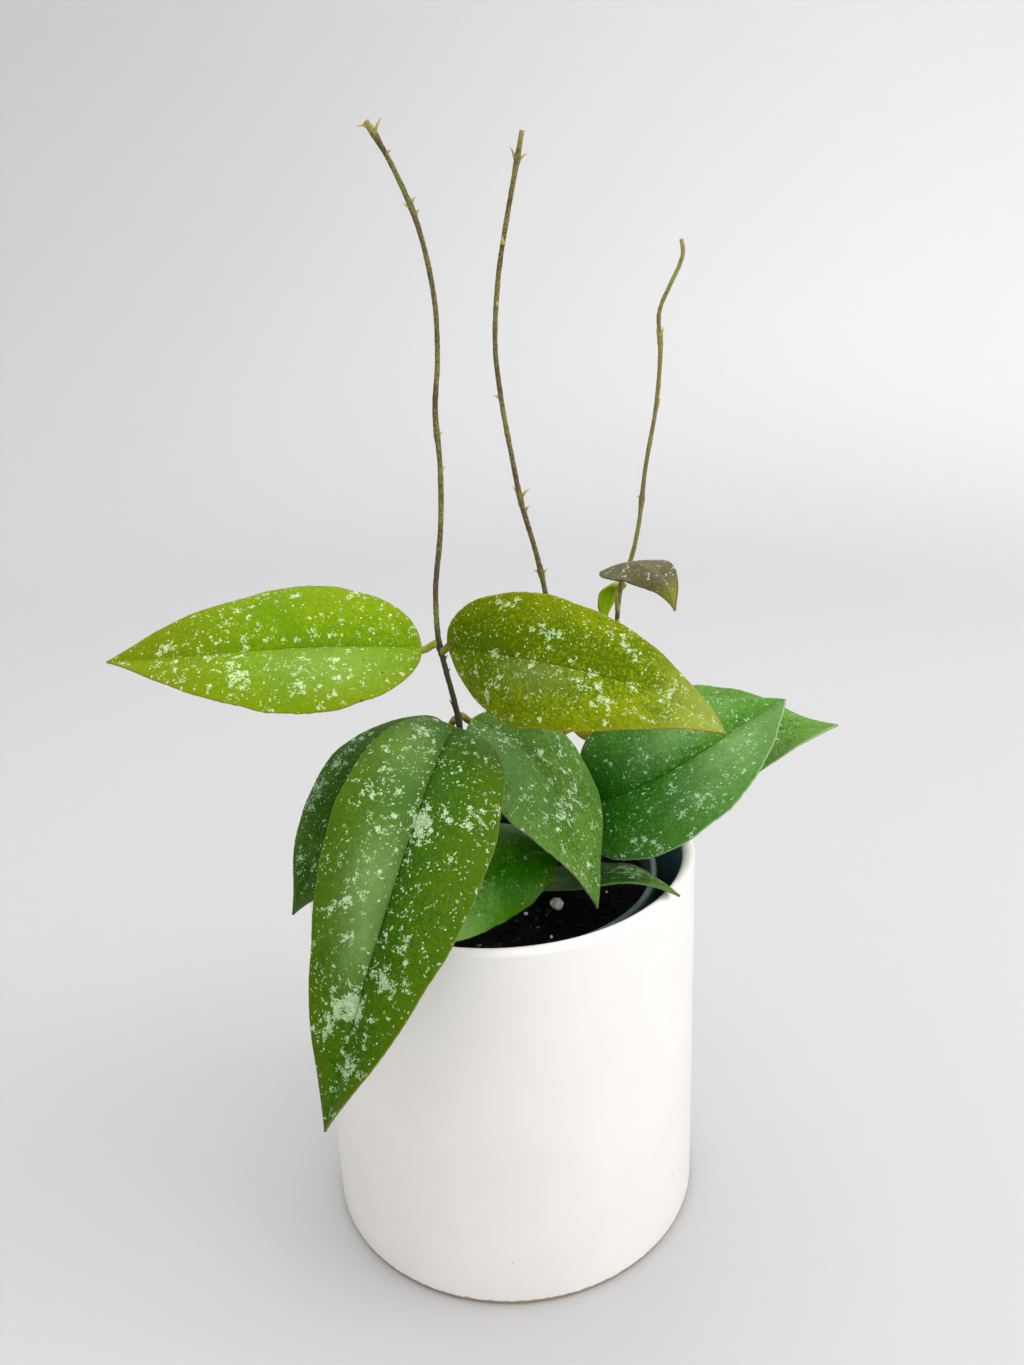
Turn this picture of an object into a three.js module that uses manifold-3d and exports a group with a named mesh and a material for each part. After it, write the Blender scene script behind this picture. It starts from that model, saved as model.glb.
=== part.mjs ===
// A climbing vine with broad leathery leaves, growing from soil in a nursery pot inside a round glazed pot.
// Millimetres, +Z up. The origin is on the pot's axis, at the flat underside of its foot.
// +X runs to the right and +Y away from someone who faces the pot's front.
import * as THREE from 'three';
import { mergeVertices } from 'three/addons/utils/BufferGeometryUtils.js';
import Module from 'manifold-3d';

const wasm = await Module();
wasm.setup();

// Glazed cover pot
const COVER_RADIUS = 63.5;
const COVER_HEIGHT = 132;
const COVER_WALL = 4;
const COVER_FLOOR = 6;
const COVER_FOOT_ROUND = 2;
const COVER_INNER_ROUND = 5;
const COVER_SIDES = 60;
const CORNER_STEPS = 3;
const LIP_STEPS = 6;

// Nursery pot, standing on the cover pot's floor
const SEAT_GAP = 0.3;
const NURSERY_RIM_RADIUS = 51.3;
const NURSERY_RIM_TOP = 124;
const NURSERY_RIM_DEPTH = 9;
const NURSERY_RIM_WIDTH = 2.2;
const NURSERY_RIM_EDGE = 0.6;
const NURSERY_SHOULDER_RISE = 1;
const NURSERY_FOOT_RADIUS = 38;
const NURSERY_WALL = 1.4;
const NURSERY_SIDES = 48;
const DRAIN_HOLES = 5;
const DRAIN_RADIUS = 4;
const DRAIN_SIDES = 12;
const DRAIN_CIRCLE_RADIUS = 24;
const DRILL_LENGTH = 4 * NURSERY_WALL;

// Soil
const SOIL_LEVEL = 116;
const SOIL_BUMP = 0.9;
const SOIL_BROAD = { x: 9, y: 8, shiftX: 1, shiftY: 2 };
const SOIL_FINE = { x: 3.1, y: 4.3, crossY: 2.7, crossX: 5.2, share: 0.7 };
const SOIL_SIDES = 36;
const SOIL_RINGS = [43, 36, 29, 22, 15, 8];
const GRAIN_COUNT = 12;
const GRAIN_SMALLEST = 1.25;
const GRAIN_VARIATION = 0.9;
const GRAIN_SPREAD = 40;
const GRAIN_SEED = 7;
const ROOT_DEPTH = 30;
const RANDOM_FACTOR = 16807;
const RANDOM_MODULUS = 2147483647;

// Vines
const VINE_SIDES = 8;
const VINE_STEP = 5;
const STEM_HOLE_GAP = 0.3;
const STEM_HOLE_RISE = 8;
const HEIGHT_SEARCH_STEPS = 30;
const KNUCKLE_SWELL = 0.55;
const KNUCKLE_REACH = 2.2;
const SCALE_WIDTH = 1.5;
const SCALE_THICKNESS = 0.8;
const SCALE_LEAN = 0.55;
const SCALE_SIDES = 6;
const SCALE_SHARES = [0, 0.35, 0.7, 1];
const SCALE_TIP_TAPER = 0.25;

// Leaves
const LEAF_RINGS = 15;
const LEAF_COLUMNS = 7;
const LEAF_STALK_RINGS = 5;
const LEAF_THICKNESS = 1.5;
const LEAF_EDGE_THICKNESS = 0.8;
const LEAF_TIP_HALF_WIDTH = 0.45;
const LEAF_TIP_THINNING = 0.4;
const STALK_RADIUS = 1.1;
const STALK_GAP = 0.4;
const STALK_HANDLE = 0.4;
const STALK_BLEND = 6;
const WIDEST_SHAPE = 0.57;
const WAVES_PER_SIDE = 2.5;
const WAVE_SKEW = 0.3;
const WAVE_FADE_WIDTH = 8;
const MIDRIB_STEPS = 48;

const degrees = THREE.MathUtils.degToRad;

/** Closes a row of rings into one solid. Each ring runs anticlockwise about the way that the rings move. */
function loft(rings) {
  const count = rings[0].length;
  const points = rings.flat();
  const triangles = [];
  for (let row = 0; row + 1 < rings.length; row++) {
    for (let column = 0; column < count; column++) {
      const near = row * count + column;
      const nearNext = row * count + (column + 1) % count;
      const far = near + count;
      const farNext = nearNext + count;
      // The second half of a ring is cut along the other diagonal, so that a blade's two faces match.
      if (column < count / 2) {
        triangles.push(near, nearNext, far, nearNext, farNext, far);
      } else {
        triangles.push(near, nearNext, farNext, near, farNext, far);
      }
    }
  }
  const start = points.length;
  const end = start + 1;
  points.push(middleOf(rings[0]), middleOf(rings[rings.length - 1]));
  const last = (rings.length - 1) * count;
  for (let column = 0; column < count; column++) {
    const next = (column + 1) % count;
    triangles.push(start, next, column, end, last + column, last + next);
  }
  const geometry = new THREE.BufferGeometry().setFromPoints(points);
  geometry.setIndex(triangles);
  return geometry;
}

function middleOf(ring) {
  const sum = new THREE.Vector3();
  for (const point of ring) {
    sum.add(point);
  }
  return sum.divideScalar(ring.length);
}

/** Turns a closed geometry into a solid that can be joined and cut. */
function toSolid(geometry) {
  const bare = geometry.clone();
  bare.deleteAttribute('normal');
  bare.deleteAttribute('uv');
  const merged = mergeVertices(bare);
  const index = merged.getIndex().array;
  const kept = [];
  for (let i = 0; i < index.length; i += 3) {
    const [a, b, c] = [index[i], index[i + 1], index[i + 2]];
    if (a !== b && b !== c && c !== a) {
      kept.push(a, b, c);
    }
  }
  const vertProperties = new Float32Array(merged.getAttribute('position').array);
  return new wasm.Manifold(new wasm.Mesh({ numProp: 3, vertProperties, triVerts: new Uint32Array(kept) }));
}

function toGeometry(solid) {
  const mesh = solid.getMesh();
  const geometry = new THREE.BufferGeometry();
  geometry.setAttribute('position', new THREE.BufferAttribute(new Float32Array(mesh.vertProperties), 3));
  geometry.setIndex(new THREE.BufferAttribute(new Uint32Array(mesh.triVerts), 1));
  return geometry;
}

/** A repeatable row of numbers from 0 to 1. */
function seededRandom(seed) {
  let state = seed;
  return () => {
    state = (state * RANDOM_FACTOR) % RANDOM_MODULUS;
    return state / RANDOM_MODULUS;
  };
}

/** Points on a quarter circle in a turned profile, from one angle to the other. */
function arc(centreX, centreZ, radius, from, to, steps) {
  const points = [];
  for (let i = 0; i <= steps; i++) {
    const angle = degrees(from + (to - from) * i / steps);
    points.push(new THREE.Vector2(centreX + radius * Math.cos(angle), centreZ + radius * Math.sin(angle)));
  }
  return points;
}

/** Turns a profile about the pot's axis, which runs up along +Z. */
function turnedSolid(profile, sides) {
  const geometry = new THREE.LatheGeometry(profile, sides);
  geometry.rotateX(Math.PI / 2);
  return geometry;
}

function coverPotGeometry() {
  const lip = COVER_WALL / 2;
  const inside = COVER_RADIUS - COVER_WALL;
  const profile = [
    new THREE.Vector2(0, 0),
    ...arc(COVER_RADIUS - COVER_FOOT_ROUND, COVER_FOOT_ROUND, COVER_FOOT_ROUND, -90, 0, CORNER_STEPS),
    ...arc(COVER_RADIUS - lip, COVER_HEIGHT - lip, lip, 0, 180, LIP_STEPS),
    ...arc(inside - COVER_INNER_ROUND, COVER_FLOOR + COVER_INNER_ROUND, COVER_INNER_ROUND, 0, -90, CORNER_STEPS),
    new THREE.Vector2(0, COVER_FLOOR),
  ];
  return turnedSolid(profile, COVER_SIDES);
}

const NURSERY_FOOT = COVER_FLOOR + SEAT_GAP;
const NURSERY_SHOULDER = NURSERY_RIM_TOP - NURSERY_RIM_DEPTH;
const NURSERY_WALL_RADIUS = NURSERY_RIM_RADIUS - NURSERY_RIM_WIDTH + NURSERY_WALL;

function nurseryPotGeometry() {
  const innerTop = NURSERY_RIM_RADIUS - NURSERY_RIM_WIDTH;
  const profile = [
    new THREE.Vector2(0, NURSERY_FOOT),
    new THREE.Vector2(NURSERY_FOOT_RADIUS, NURSERY_FOOT),
    new THREE.Vector2(NURSERY_WALL_RADIUS, NURSERY_SHOULDER - NURSERY_SHOULDER_RISE),
    new THREE.Vector2(NURSERY_RIM_RADIUS, NURSERY_SHOULDER),
    new THREE.Vector2(NURSERY_RIM_RADIUS, NURSERY_RIM_TOP - NURSERY_RIM_EDGE),
    new THREE.Vector2(NURSERY_RIM_RADIUS - NURSERY_RIM_EDGE, NURSERY_RIM_TOP),
    new THREE.Vector2(innerTop + NURSERY_RIM_EDGE, NURSERY_RIM_TOP),
    new THREE.Vector2(innerTop, NURSERY_RIM_TOP - NURSERY_RIM_EDGE),
    new THREE.Vector2(innerTop, NURSERY_SHOULDER - NURSERY_SHOULDER_RISE),
    new THREE.Vector2(NURSERY_FOOT_RADIUS - NURSERY_WALL, NURSERY_FOOT + NURSERY_WALL),
    new THREE.Vector2(0, NURSERY_FOOT + NURSERY_WALL),
  ];
  let pot = toSolid(turnedSolid(profile, NURSERY_SIDES));
  for (let i = 0; i < DRAIN_HOLES; i++) {
    const angle = 2 * Math.PI * i / DRAIN_HOLES;
    const drill = new THREE.CylinderGeometry(DRAIN_RADIUS, DRAIN_RADIUS, DRILL_LENGTH, DRAIN_SIDES);
    drill.rotateX(Math.PI / 2);
    const x = DRAIN_CIRCLE_RADIUS * Math.cos(angle);
    const y = DRAIN_CIRCLE_RADIUS * Math.sin(angle);
    drill.translate(x, y, NURSERY_FOOT + NURSERY_WALL / 2);
    pot = pot.subtract(toSolid(drill));
  }
  return toGeometry(pot);
}

/** The soil's rough surface: a few crossing waves. */
function soilHeight(x, y) {
  const broad = Math.sin(x / SOIL_BROAD.x + SOIL_BROAD.shiftX) * Math.cos(y / SOIL_BROAD.y + SOIL_BROAD.shiftY);
  const fine = Math.sin(x / SOIL_FINE.x + y / SOIL_FINE.y) * Math.cos(y / SOIL_FINE.crossY - x / SOIL_FINE.crossX);
  return SOIL_LEVEL + SOIL_BUMP * (broad + SOIL_FINE.share * fine);
}

function soilRing(radius, height) {
  const ring = [];
  for (let i = 0; i < SOIL_SIDES; i++) {
    const angle = 2 * Math.PI * i / SOIL_SIDES;
    const x = radius * Math.cos(angle);
    const y = radius * Math.sin(angle);
    ring.push(new THREE.Vector3(x, y, height ?? soilHeight(x, y)));
  }
  return ring;
}

function soilGeometry(vines) {
  const flatSide = Math.cos(Math.PI / NURSERY_SIDES);
  const floor = NURSERY_FOOT + NURSERY_WALL + SEAT_GAP;
  const footRadius = (NURSERY_FOOT_RADIUS - NURSERY_WALL) * flatSide - SEAT_GAP;
  const wallRadius = (NURSERY_RIM_RADIUS - NURSERY_RIM_WIDTH) * flatSide - SEAT_GAP;
  const rings = [
    soilRing(footRadius, floor),
    soilRing(wallRadius, NURSERY_SHOULDER - NURSERY_SHOULDER_RISE),
    ...SOIL_RINGS.map((radius) => soilRing(radius)),
  ];
  let soil = toSolid(loft(rings));
  const random = seededRandom(GRAIN_SEED);
  for (let i = 0; i < GRAIN_COUNT; i++) {
    const reach = GRAIN_SPREAD * Math.sqrt(random());
    const angle = 2 * Math.PI * random();
    const x = reach * Math.cos(angle);
    const y = reach * Math.sin(angle);
    const grain = new THREE.IcosahedronGeometry(GRAIN_SMALLEST + GRAIN_VARIATION * random(), 0);
    grain.rotateX(random() * Math.PI);
    grain.translate(x, y, soilHeight(x, y));
    soil = soil.add(toSolid(grain));
  }
  for (const vine of vines) {
    soil = soil.subtract(toSolid(vine.holeGeometry()));
  }
  return toGeometry(soil);
}

/** A stem that climbs from the soil, with knuckles where leaves join and small scales on the bare upper part. */
class Vine {
  constructor({ route, baseRadius, tipRadius, knuckles, scales }) {
    this.curve = new THREE.CatmullRomCurve3(route.map((point) => new THREE.Vector3(...point)));
    this.baseRadius = baseRadius;
    this.tipRadius = tipRadius;
    this.knuckles = knuckles;
    this.scales = scales;
  }

  /** The share of the way along the stem at which it reaches a height. */
  shareAt(height) {
    let low = 0;
    let high = 1;
    for (let i = 0; i < HEIGHT_SEARCH_STEPS; i++) {
      const middle = (low + high) / 2;
      if (this.curve.getPointAt(middle).z < height) {
        low = middle;
      } else {
        high = middle;
      }
    }
    return low;
  }

  radiusAt(share) {
    const height = this.curve.getPointAt(share).z;
    let radius = this.baseRadius + (this.tipRadius - this.baseRadius) * share;
    for (const knuckle of this.knuckles) {
      radius += KNUCKLE_SWELL * Math.exp(-(((height - knuckle) / KNUCKLE_REACH) ** 2));
    }
    return radius;
  }

  ringsTo(end, extra) {
    const steps = Math.ceil(this.curve.getLength() * end / VINE_STEP);
    const frames = this.curve.computeFrenetFrames(steps);
    const rings = [];
    for (let i = 0; i <= steps; i++) {
      const share = end * i / steps;
      const centre = this.curve.getPointAt(share);
      const tangent = this.curve.getTangentAt(share);
      const side = frames.normals[i].clone().addScaledVector(tangent, -frames.normals[i].dot(tangent)).normalize();
      const up = tangent.clone().cross(side);
      const radius = this.radiusAt(share) + extra;
      rings.push(circle(centre, side, up, radius, VINE_SIDES));
    }
    return rings;
  }

  /** A plain clear hole for the buried part of the stem. */
  holeGeometry() {
    const rings = this.ringsTo(this.shareAt(SOIL_LEVEL + STEM_HOLE_RISE), STEM_HOLE_GAP);
    for (const point of rings[0]) {
      point.z -= STEM_HOLE_GAP;
    }
    return loft(rings);
  }

  geometry() {
    let stem = toSolid(loft(this.ringsTo(1, 0)));
    for (const scale of this.scales) {
      stem = stem.add(toSolid(this.scaleGeometry(scale)));
    }
    return toGeometry(stem);
  }

  /** A small pointed scale that stands out of the stem, with its root sunk in it. */
  scaleGeometry({ height, heading, length }) {
    const root = this.curve.getPointAt(this.shareAt(height));
    const out = new THREE.Vector3(Math.cos(degrees(heading)), Math.sin(degrees(heading)), 0);
    const along = out.clone().multiplyScalar(SCALE_LEAN).add(new THREE.Vector3(0, 0, 1)).normalize();
    const side = new THREE.Vector3(-out.y, out.x, 0);
    const thick = along.clone().cross(side);
    const rings = SCALE_SHARES.map((share) => {
      const centre = root.clone().addScaledVector(along, length * share);
      const taper = Math.max(SCALE_TIP_TAPER, Math.sqrt(1 - share ** 2));
      return ellipse(centre, side, thick, SCALE_WIDTH / 2 * taper, SCALE_THICKNESS / 2 * taper, SCALE_SIDES);
    });
    return loft(rings);
  }
}

function circle(centre, first, second, radius, sides) {
  return ellipse(centre, first, second, radius, radius, sides);
}

function ellipse(centre, first, second, firstRadius, secondRadius, sides) {
  const ring = [];
  for (let i = 0; i < sides; i++) {
    const angle = 2 * Math.PI * i / sides;
    ring.push(centre.clone()
      .addScaledVector(first, firstRadius * Math.cos(angle))
      .addScaledVector(second, secondRadius * Math.sin(angle)));
  }
  return ring;
}

/** The value at a share of the way from base to tip, on the parabola through three values. */
function bend([base, middle, tip], share) {
  return base + (4 * middle - 3 * base - tip) * share + 2 * (base + tip - 2 * middle) * share ** 2;
}

/**
 * A leaf with its stalk. heading, pitch and roll are in degrees at the base, middle and tip of the midrib:
 * heading turns from +X about +Z, pitch lifts above the level, and roll tips the right-hand side down.
 * fold lifts both halves beside the midrib, and curl bends them down again towards the margins.
 * shape, where a leaf has its own, sets how far out the blade is widest.
 */
class Leaf {
  constructor(plan, vine) {
    Object.assign(this, plan);
    this.base = new THREE.Vector3(...plan.base);
    this.vine = vine;
  }

  frameAt(share) {
    const heading = degrees(bend(this.heading, share));
    const pitch = degrees(bend(this.pitch, share));
    const roll = degrees(bend(this.roll, share));
    const [along, level] = [Math.cos(pitch), Math.sin(pitch)];
    const forward = new THREE.Vector3(along * Math.cos(heading), along * Math.sin(heading), level);
    const plainUp = new THREE.Vector3(-level * Math.cos(heading), -level * Math.sin(heading), along);
    const plainSide = new THREE.Vector3(Math.sin(heading), -Math.cos(heading), 0);
    const up = plainUp.clone().multiplyScalar(Math.cos(roll)).addScaledVector(plainSide, Math.sin(roll));
    const side = plainSide.clone().multiplyScalar(Math.cos(roll)).addScaledVector(plainUp, -Math.sin(roll));
    return { forward, up, side };
  }

  midribAt(share) {
    const point = this.base.clone();
    const step = share / MIDRIB_STEPS;
    for (let i = 0; i < MIDRIB_STEPS; i++) {
      point.addScaledVector(this.frameAt((i + 0.5) * step).forward, this.length * step);
    }
    return point;
  }

  /** Half the blade's width: round at the base, widest before the middle and drawn out to the tip. */
  halfWidthAt(share) {
    const shape = this.shape ?? WIDEST_SHAPE;
    const widest = shape / (shape + 1);
    const full = widest ** shape * (1 - widest);
    const blade = this.width / 2 * share ** shape * (1 - share) / full;
    return Math.hypot(blade, STALK_RADIUS * (1 - share), LEAF_TIP_HALF_WIDTH * share);
  }

  /** One closed ring round the blade or stalk: its upper face from left to right, then its lower face back. */
  ringAt(centre, { up, side }, halfWidth, thickness, share) {
    const fold = degrees(this.fold);
    const turn = degrees(this.curl) / (this.width / 2);
    const upper = [];
    const lower = [];
    for (let i = 0; i < LEAF_COLUMNS; i++) {
      const across = -1 + 2 * i / (LEAF_COLUMNS - 1);
      const reach = Math.abs(across) * halfWidth;
      const slope = fold - turn * reach;
      const out = Math.sign(across) * (Math.sin(fold) - Math.sin(slope)) / turn;
      const ripple = this.wave * across ** 2 * Math.sin(2 * Math.PI * (WAVES_PER_SIDE * share + WAVE_SKEW * across));
      const rise = (Math.cos(slope) - Math.cos(fold)) / turn + ripple * Math.min(1, halfWidth / WAVE_FADE_WIDTH);
      const point = centre.clone().addScaledVector(side, out).addScaledVector(up, rise);
      const lean = across === 0 ? 0 : -Math.sign(across) * Math.sin(slope);
      const normal = side.clone().multiplyScalar(lean).addScaledVector(up, Math.sqrt(1 - lean ** 2));
      const half = (LEAF_EDGE_THICKNESS + (thickness - LEAF_EDGE_THICKNESS) * (1 - across ** 2)) / 2;
      upper.push(point.clone().addScaledVector(normal, half));
      lower.unshift(point.clone().addScaledVector(normal, -half));
    }
    return [...upper, ...lower];
  }

  /** The stalk's rings, from just off the stem to the blade's base. */
  stalkRings() {
    const stem = this.vine.curve.getPointAt(this.vine.shareAt(this.joinHeight));
    const outward = this.base.clone().sub(stem).setZ(0).normalize();
    const clear = this.vine.radiusAt(this.vine.shareAt(this.joinHeight)) + STALK_GAP;
    const start = stem.clone().addScaledVector(outward, clear);
    const frame = this.frameAt(0);
    const length = start.distanceTo(this.base);
    const path = new THREE.CubicBezierCurve3(
      start,
      start.clone().addScaledVector(outward, length * STALK_HANDLE),
      this.base.clone().addScaledVector(frame.forward, -length * STALK_HANDLE),
      this.base,
    );
    const rings = [];
    for (let i = 0; i < LEAF_STALK_RINGS; i++) {
      const share = i / LEAF_STALK_RINGS;
      const tangent = path.getTangent(share);
      const up = frame.up.clone().addScaledVector(tangent, -frame.up.dot(tangent)).normalize();
      const side = tangent.clone().cross(up);
      rings.push(this.ringAt(path.getPoint(share), { up, side }, STALK_RADIUS, 2 * STALK_RADIUS, 0));
    }
    return rings;
  }

  bladeRings() {
    const rings = [];
    for (let i = 0; i < LEAF_RINGS; i++) {
      const share = (1 - Math.cos(Math.PI * i / (LEAF_RINGS - 1))) / 2;
      const thickness = Math.hypot(LEAF_THICKNESS, 2 * STALK_RADIUS * Math.max(0, 1 - STALK_BLEND * share));
      const taper = 1 - LEAF_TIP_THINNING * share ** 3;
      rings.push(this.ringAt(
        this.midribAt(share), this.frameAt(share), this.halfWidthAt(share), thickness * taper, share));
    }
    return rings;
  }

  geometry() {
    return loft([...this.stalkRings(), ...this.bladeRings()]);
  }
}

const VINES = {
  vine_left: new Vine({
    route: [
      [-7, -3, SOIL_LEVEL - ROOT_DEPTH], [-8, -4, 116], [-9.5, -7, 150], [-11, -8, 180], [-14, -8, 197],
      [-15.5, -8, 206], [-15.5, -7, 221], [-13, -5, 239], [-12, -3, 257], [-12.5, -1, 273], [-11, 1, 287],
      [-11, 3, 304], [-14.5, 5, 323], [-19.5, 6, 336], [-23, 6.5, 343], [-26.5, 7, 349],
    ],
    baseRadius: 0.95,
    tipRadius: 0.7,
    knuckles: [177, 204, 272, 296, 322],
    scales: [
      { height: 346, heading: 200, length: 4 },
      { height: 346, heading: 10, length: 4 },
      { height: 326, heading: 185, length: 3.5 },
      { height: 325, heading: 10, length: 3 },
      { height: 267, heading: 0, length: 2.5 },
    ],
  }),
  vine_middle: new Vine({
    route: [
      [24, 9, SOIL_LEVEL - ROOT_DEPTH], [23, 10, 116], [23, 12, 140], [22, 13, 164], [20, 12, 190],
      [18, 11, 213.5], [15, 9, 229], [11.5, 7, 243], [9, 5, 258], [6.5, 4, 275.5], [5.5, 2, 290],
      [7, 1, 307], [9, 0, 318], [12.5, -1, 333.5], [15, -2, 344.5],
    ],
    baseRadius: 0.95,
    tipRadius: 0.68,
    knuckles: [125, 139, 165, 222, 247, 277, 338],
    scales: [
      { height: 337, heading: 180, length: 3 },
      { height: 337, heading: 0, length: 3 },
      { height: 247, heading: 190, length: 3.5 },
      { height: 247, heading: 10, length: 3.5 },
      { height: 222, heading: 180, length: 2.5 },
      { height: 222, heading: 0, length: 2.5 },
    ],
  }),
  vine_right: new Vine({
    route: [
      [36, 20, SOIL_LEVEL - ROOT_DEPTH], [37, 21, 116], [40, 25, 150], [41, 22, 180], [41.3, 19, 200],
      [43.1, 18, 215], [45.8, 17, 222], [48, 16, 232.5], [50, 15, 250.5], [53, 13, 270], [54, 12, 285.5],
      [53.5, 11, 296.5], [56.5, 10, 304], [59, 10, 309], [60, 10, 312.5], [59.5, 10, 316],
    ],
    baseRadius: 0.9,
    tipRadius: 0.6,
    knuckles: [150, 214, 240, 270, 296],
    scales: [
      { height: 293, heading: 10, length: 3.5 },
      { height: 294, heading: 190, length: 3 },
      { height: 269, heading: 0, length: 2 },
    ],
  }),
};

const LEAVES = [
  {
    name: 'leaf_upper_left', stem: 'vine_left', joinHeight: 205, base: [-21, -7, 203],
    length: 93, width: 44, heading: [196, 181, 184], pitch: [14, -1, 2], roll: [-40, -42, -32],
    fold: 25, curl: 50, wave: 0.5, colour: 0x9aab3e,
  },
  {
    name: 'leaf_upper_right', stem: 'vine_left', joinHeight: 203, base: [-12, -10, 205],
    length: 92, width: 39, heading: [-52, -16, 12], pitch: [7, -12, -44], roll: [100, 48, 43],
    fold: 14, curl: 26, wave: 0.6, colour: 0x7c7f35,
  },
  {
    name: 'leaf_front_hanging', stem: 'vine_left', joinHeight: 176, base: [-12, -13, 178.5],
    length: 135, width: 46, heading: [-100, -120, -168], pitch: [16, -49, -72], roll: [-17, -17, -27],
    fold: 20, curl: 40, wave: 0.6, colour: 0x4f6b45,
  },
  {
    name: 'leaf_left_hanging', stem: 'vine_left', joinHeight: 180, base: [-15, -4, 176],
    length: 77, width: 44, heading: [190, 209, 202], pitch: [-15, -45, -60], roll: [-5, -15, -8],
    fold: 6, curl: 20, wave: 0.5, colour: 0x3f5a4c,
  },
  {
    name: 'leaf_centre', stem: 'vine_left', joinHeight: 181, base: [-7, -4, 177.5],
    length: 73, width: 47, heading: [-25, -52, -59], pitch: [-5, -46, -66], roll: [7, -12, -42],
    fold: 11, curl: 37, wave: 0.5, colour: 0x66783d,
  },
  {
    name: 'leaf_low_front', stem: 'vine_middle', joinHeight: 125, base: [17, -20, 138],
    length: 62, width: 31, heading: [-158, -135, -117], pitch: [31, -15, 9], roll: [-17, -44, -8],
    fold: 4, curl: 34, wave: 0.4, colour: 0x33492f,
  },
  {
    name: 'leaf_right_broad', stem: 'vine_middle', joinHeight: 139, base: [28, 6, 141],
    length: 86, width: 51, heading: [-58, 15, 39], pitch: [28, 24, 0], roll: [80, 30, -9],
    fold: 21, curl: 17, wave: 0.6, colour: 0x6f8248,
  },
  {
    name: 'leaf_right_rear', stem: 'vine_right', joinHeight: 150, base: [46, 24, 150],
    length: 72, width: 43, heading: [20, -11, -20], pitch: [22, 4, 19], roll: [38, 33, -4],
    fold: 2, curl: 14, wave: 0.5, colour: 0x728a4a,
  },
  {
    name: 'leaf_low_right', stem: 'vine_middle', joinHeight: 121, base: [10, 0, 121],
    length: 61, width: 25, heading: [-50, -44, -35], pitch: [3, 21, -17], roll: [-10, -3, -29],
    fold: 9, curl: 14, wave: 0.3, colour: 0x5e7a3e,
  },
  {
    name: 'leaf_bronze', stem: 'vine_right', joinHeight: 215, base: [35.7, 11.2, 218.9],
    length: 37.5, width: 16, shape: 0.4, heading: [-19, -58, -78], pitch: [36, -8, -53], roll: [-11, 24, 60],
    fold: -13, curl: 8, wave: 0.3, colour: 0x6d5f58,
  },
  {
    name: 'leaf_young_green', stem: 'vine_right', joinHeight: 212, base: [42, 21.4, 212.5],
    length: 15, width: 13, heading: [120, 140, 150], pitch: [-45, -70, -80], roll: [0, 0, 0],
    fold: 10, curl: 14, wave: 0.2, colour: 0x8aa53c,
  },
  {
    name: 'leaf_small_yellow', stem: 'vine_middle', joinHeight: 165, base: [26, 15, 165.5],
    length: 15, width: 9, heading: [5, 0, -5], pitch: [5, -15, -40], roll: [50, 60, 60],
    fold: 8, curl: 14, wave: 0.2, colour: 0xa89a3c,
  },
];

const GLAZE = { colour: 0xece9e4, roughness: 0.35 };
const PLASTIC = { colour: 0x3a4643, roughness: 0.55 };
const POTTING_MIX = { colour: 0x1d1712, roughness: 0.95 };
const BARK = { colour: 0x6b6a3e, roughness: 0.6 };
const LEAF_ROUGHNESS = 0.4;

function part(name, geometry, { colour, roughness }) {
  const material = new THREE.MeshStandardMaterial({ color: colour, roughness, metalness: 0 });
  const mesh = new THREE.Mesh(geometry, material);
  mesh.name = name;
  return mesh;
}

const plant = new THREE.Group();
plant.add(part('cover_pot', coverPotGeometry(), GLAZE));
plant.add(part('nursery_pot', nurseryPotGeometry(), PLASTIC));
plant.add(part('soil', soilGeometry(Object.values(VINES)), POTTING_MIX));
for (const [name, vine] of Object.entries(VINES)) {
  plant.add(part(name, vine.geometry(), BARK));
}
for (const plan of LEAVES) {
  const finish = { colour: plan.colour, roughness: LEAF_ROUGHNESS };
  plant.add(part(plan.name, new Leaf(plan, VINES[plan.stem]).geometry(), finish));
}

export default plant;
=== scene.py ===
"""Dresses the potted climbing vine: leaves, stems, soil, both pots and a plain pale studio.

Every piece is worked out in millimetres, in the part's own frame, and placed in metres. The plant's driving
sizes repeat those of the solids, so each dressed piece stands exactly where its solid does.
"""
from __future__ import annotations

import logging
import math
import random
from dataclasses import dataclass, field
from enum import Enum
from functools import reduce

import bpy
import numpy as np
from mathutils import Matrix, Vector, noise

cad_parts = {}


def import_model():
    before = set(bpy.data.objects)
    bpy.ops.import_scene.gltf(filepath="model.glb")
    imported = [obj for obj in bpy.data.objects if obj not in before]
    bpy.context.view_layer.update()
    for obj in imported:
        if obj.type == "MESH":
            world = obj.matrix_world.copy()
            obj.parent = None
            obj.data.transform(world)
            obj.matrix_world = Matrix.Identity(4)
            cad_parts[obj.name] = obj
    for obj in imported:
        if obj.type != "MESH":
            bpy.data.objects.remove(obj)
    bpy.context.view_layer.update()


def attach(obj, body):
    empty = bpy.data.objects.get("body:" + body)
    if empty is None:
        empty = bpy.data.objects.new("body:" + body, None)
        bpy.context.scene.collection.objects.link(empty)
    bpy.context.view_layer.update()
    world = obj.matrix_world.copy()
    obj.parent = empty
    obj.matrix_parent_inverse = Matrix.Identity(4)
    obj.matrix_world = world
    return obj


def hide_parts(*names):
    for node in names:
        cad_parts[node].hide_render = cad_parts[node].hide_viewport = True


LOG = logging.getLogger("potted_vine")
MM = 0.001
BODY = "root"

Triple = tuple[float, float, float]
Colour = tuple[float, float, float]
Patch = tuple[float, float, float, float]
Profile = list[tuple[float, float]]
Socket = bpy.types.NodeSocket
Node = bpy.types.Node
Material = bpy.types.Material


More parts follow.
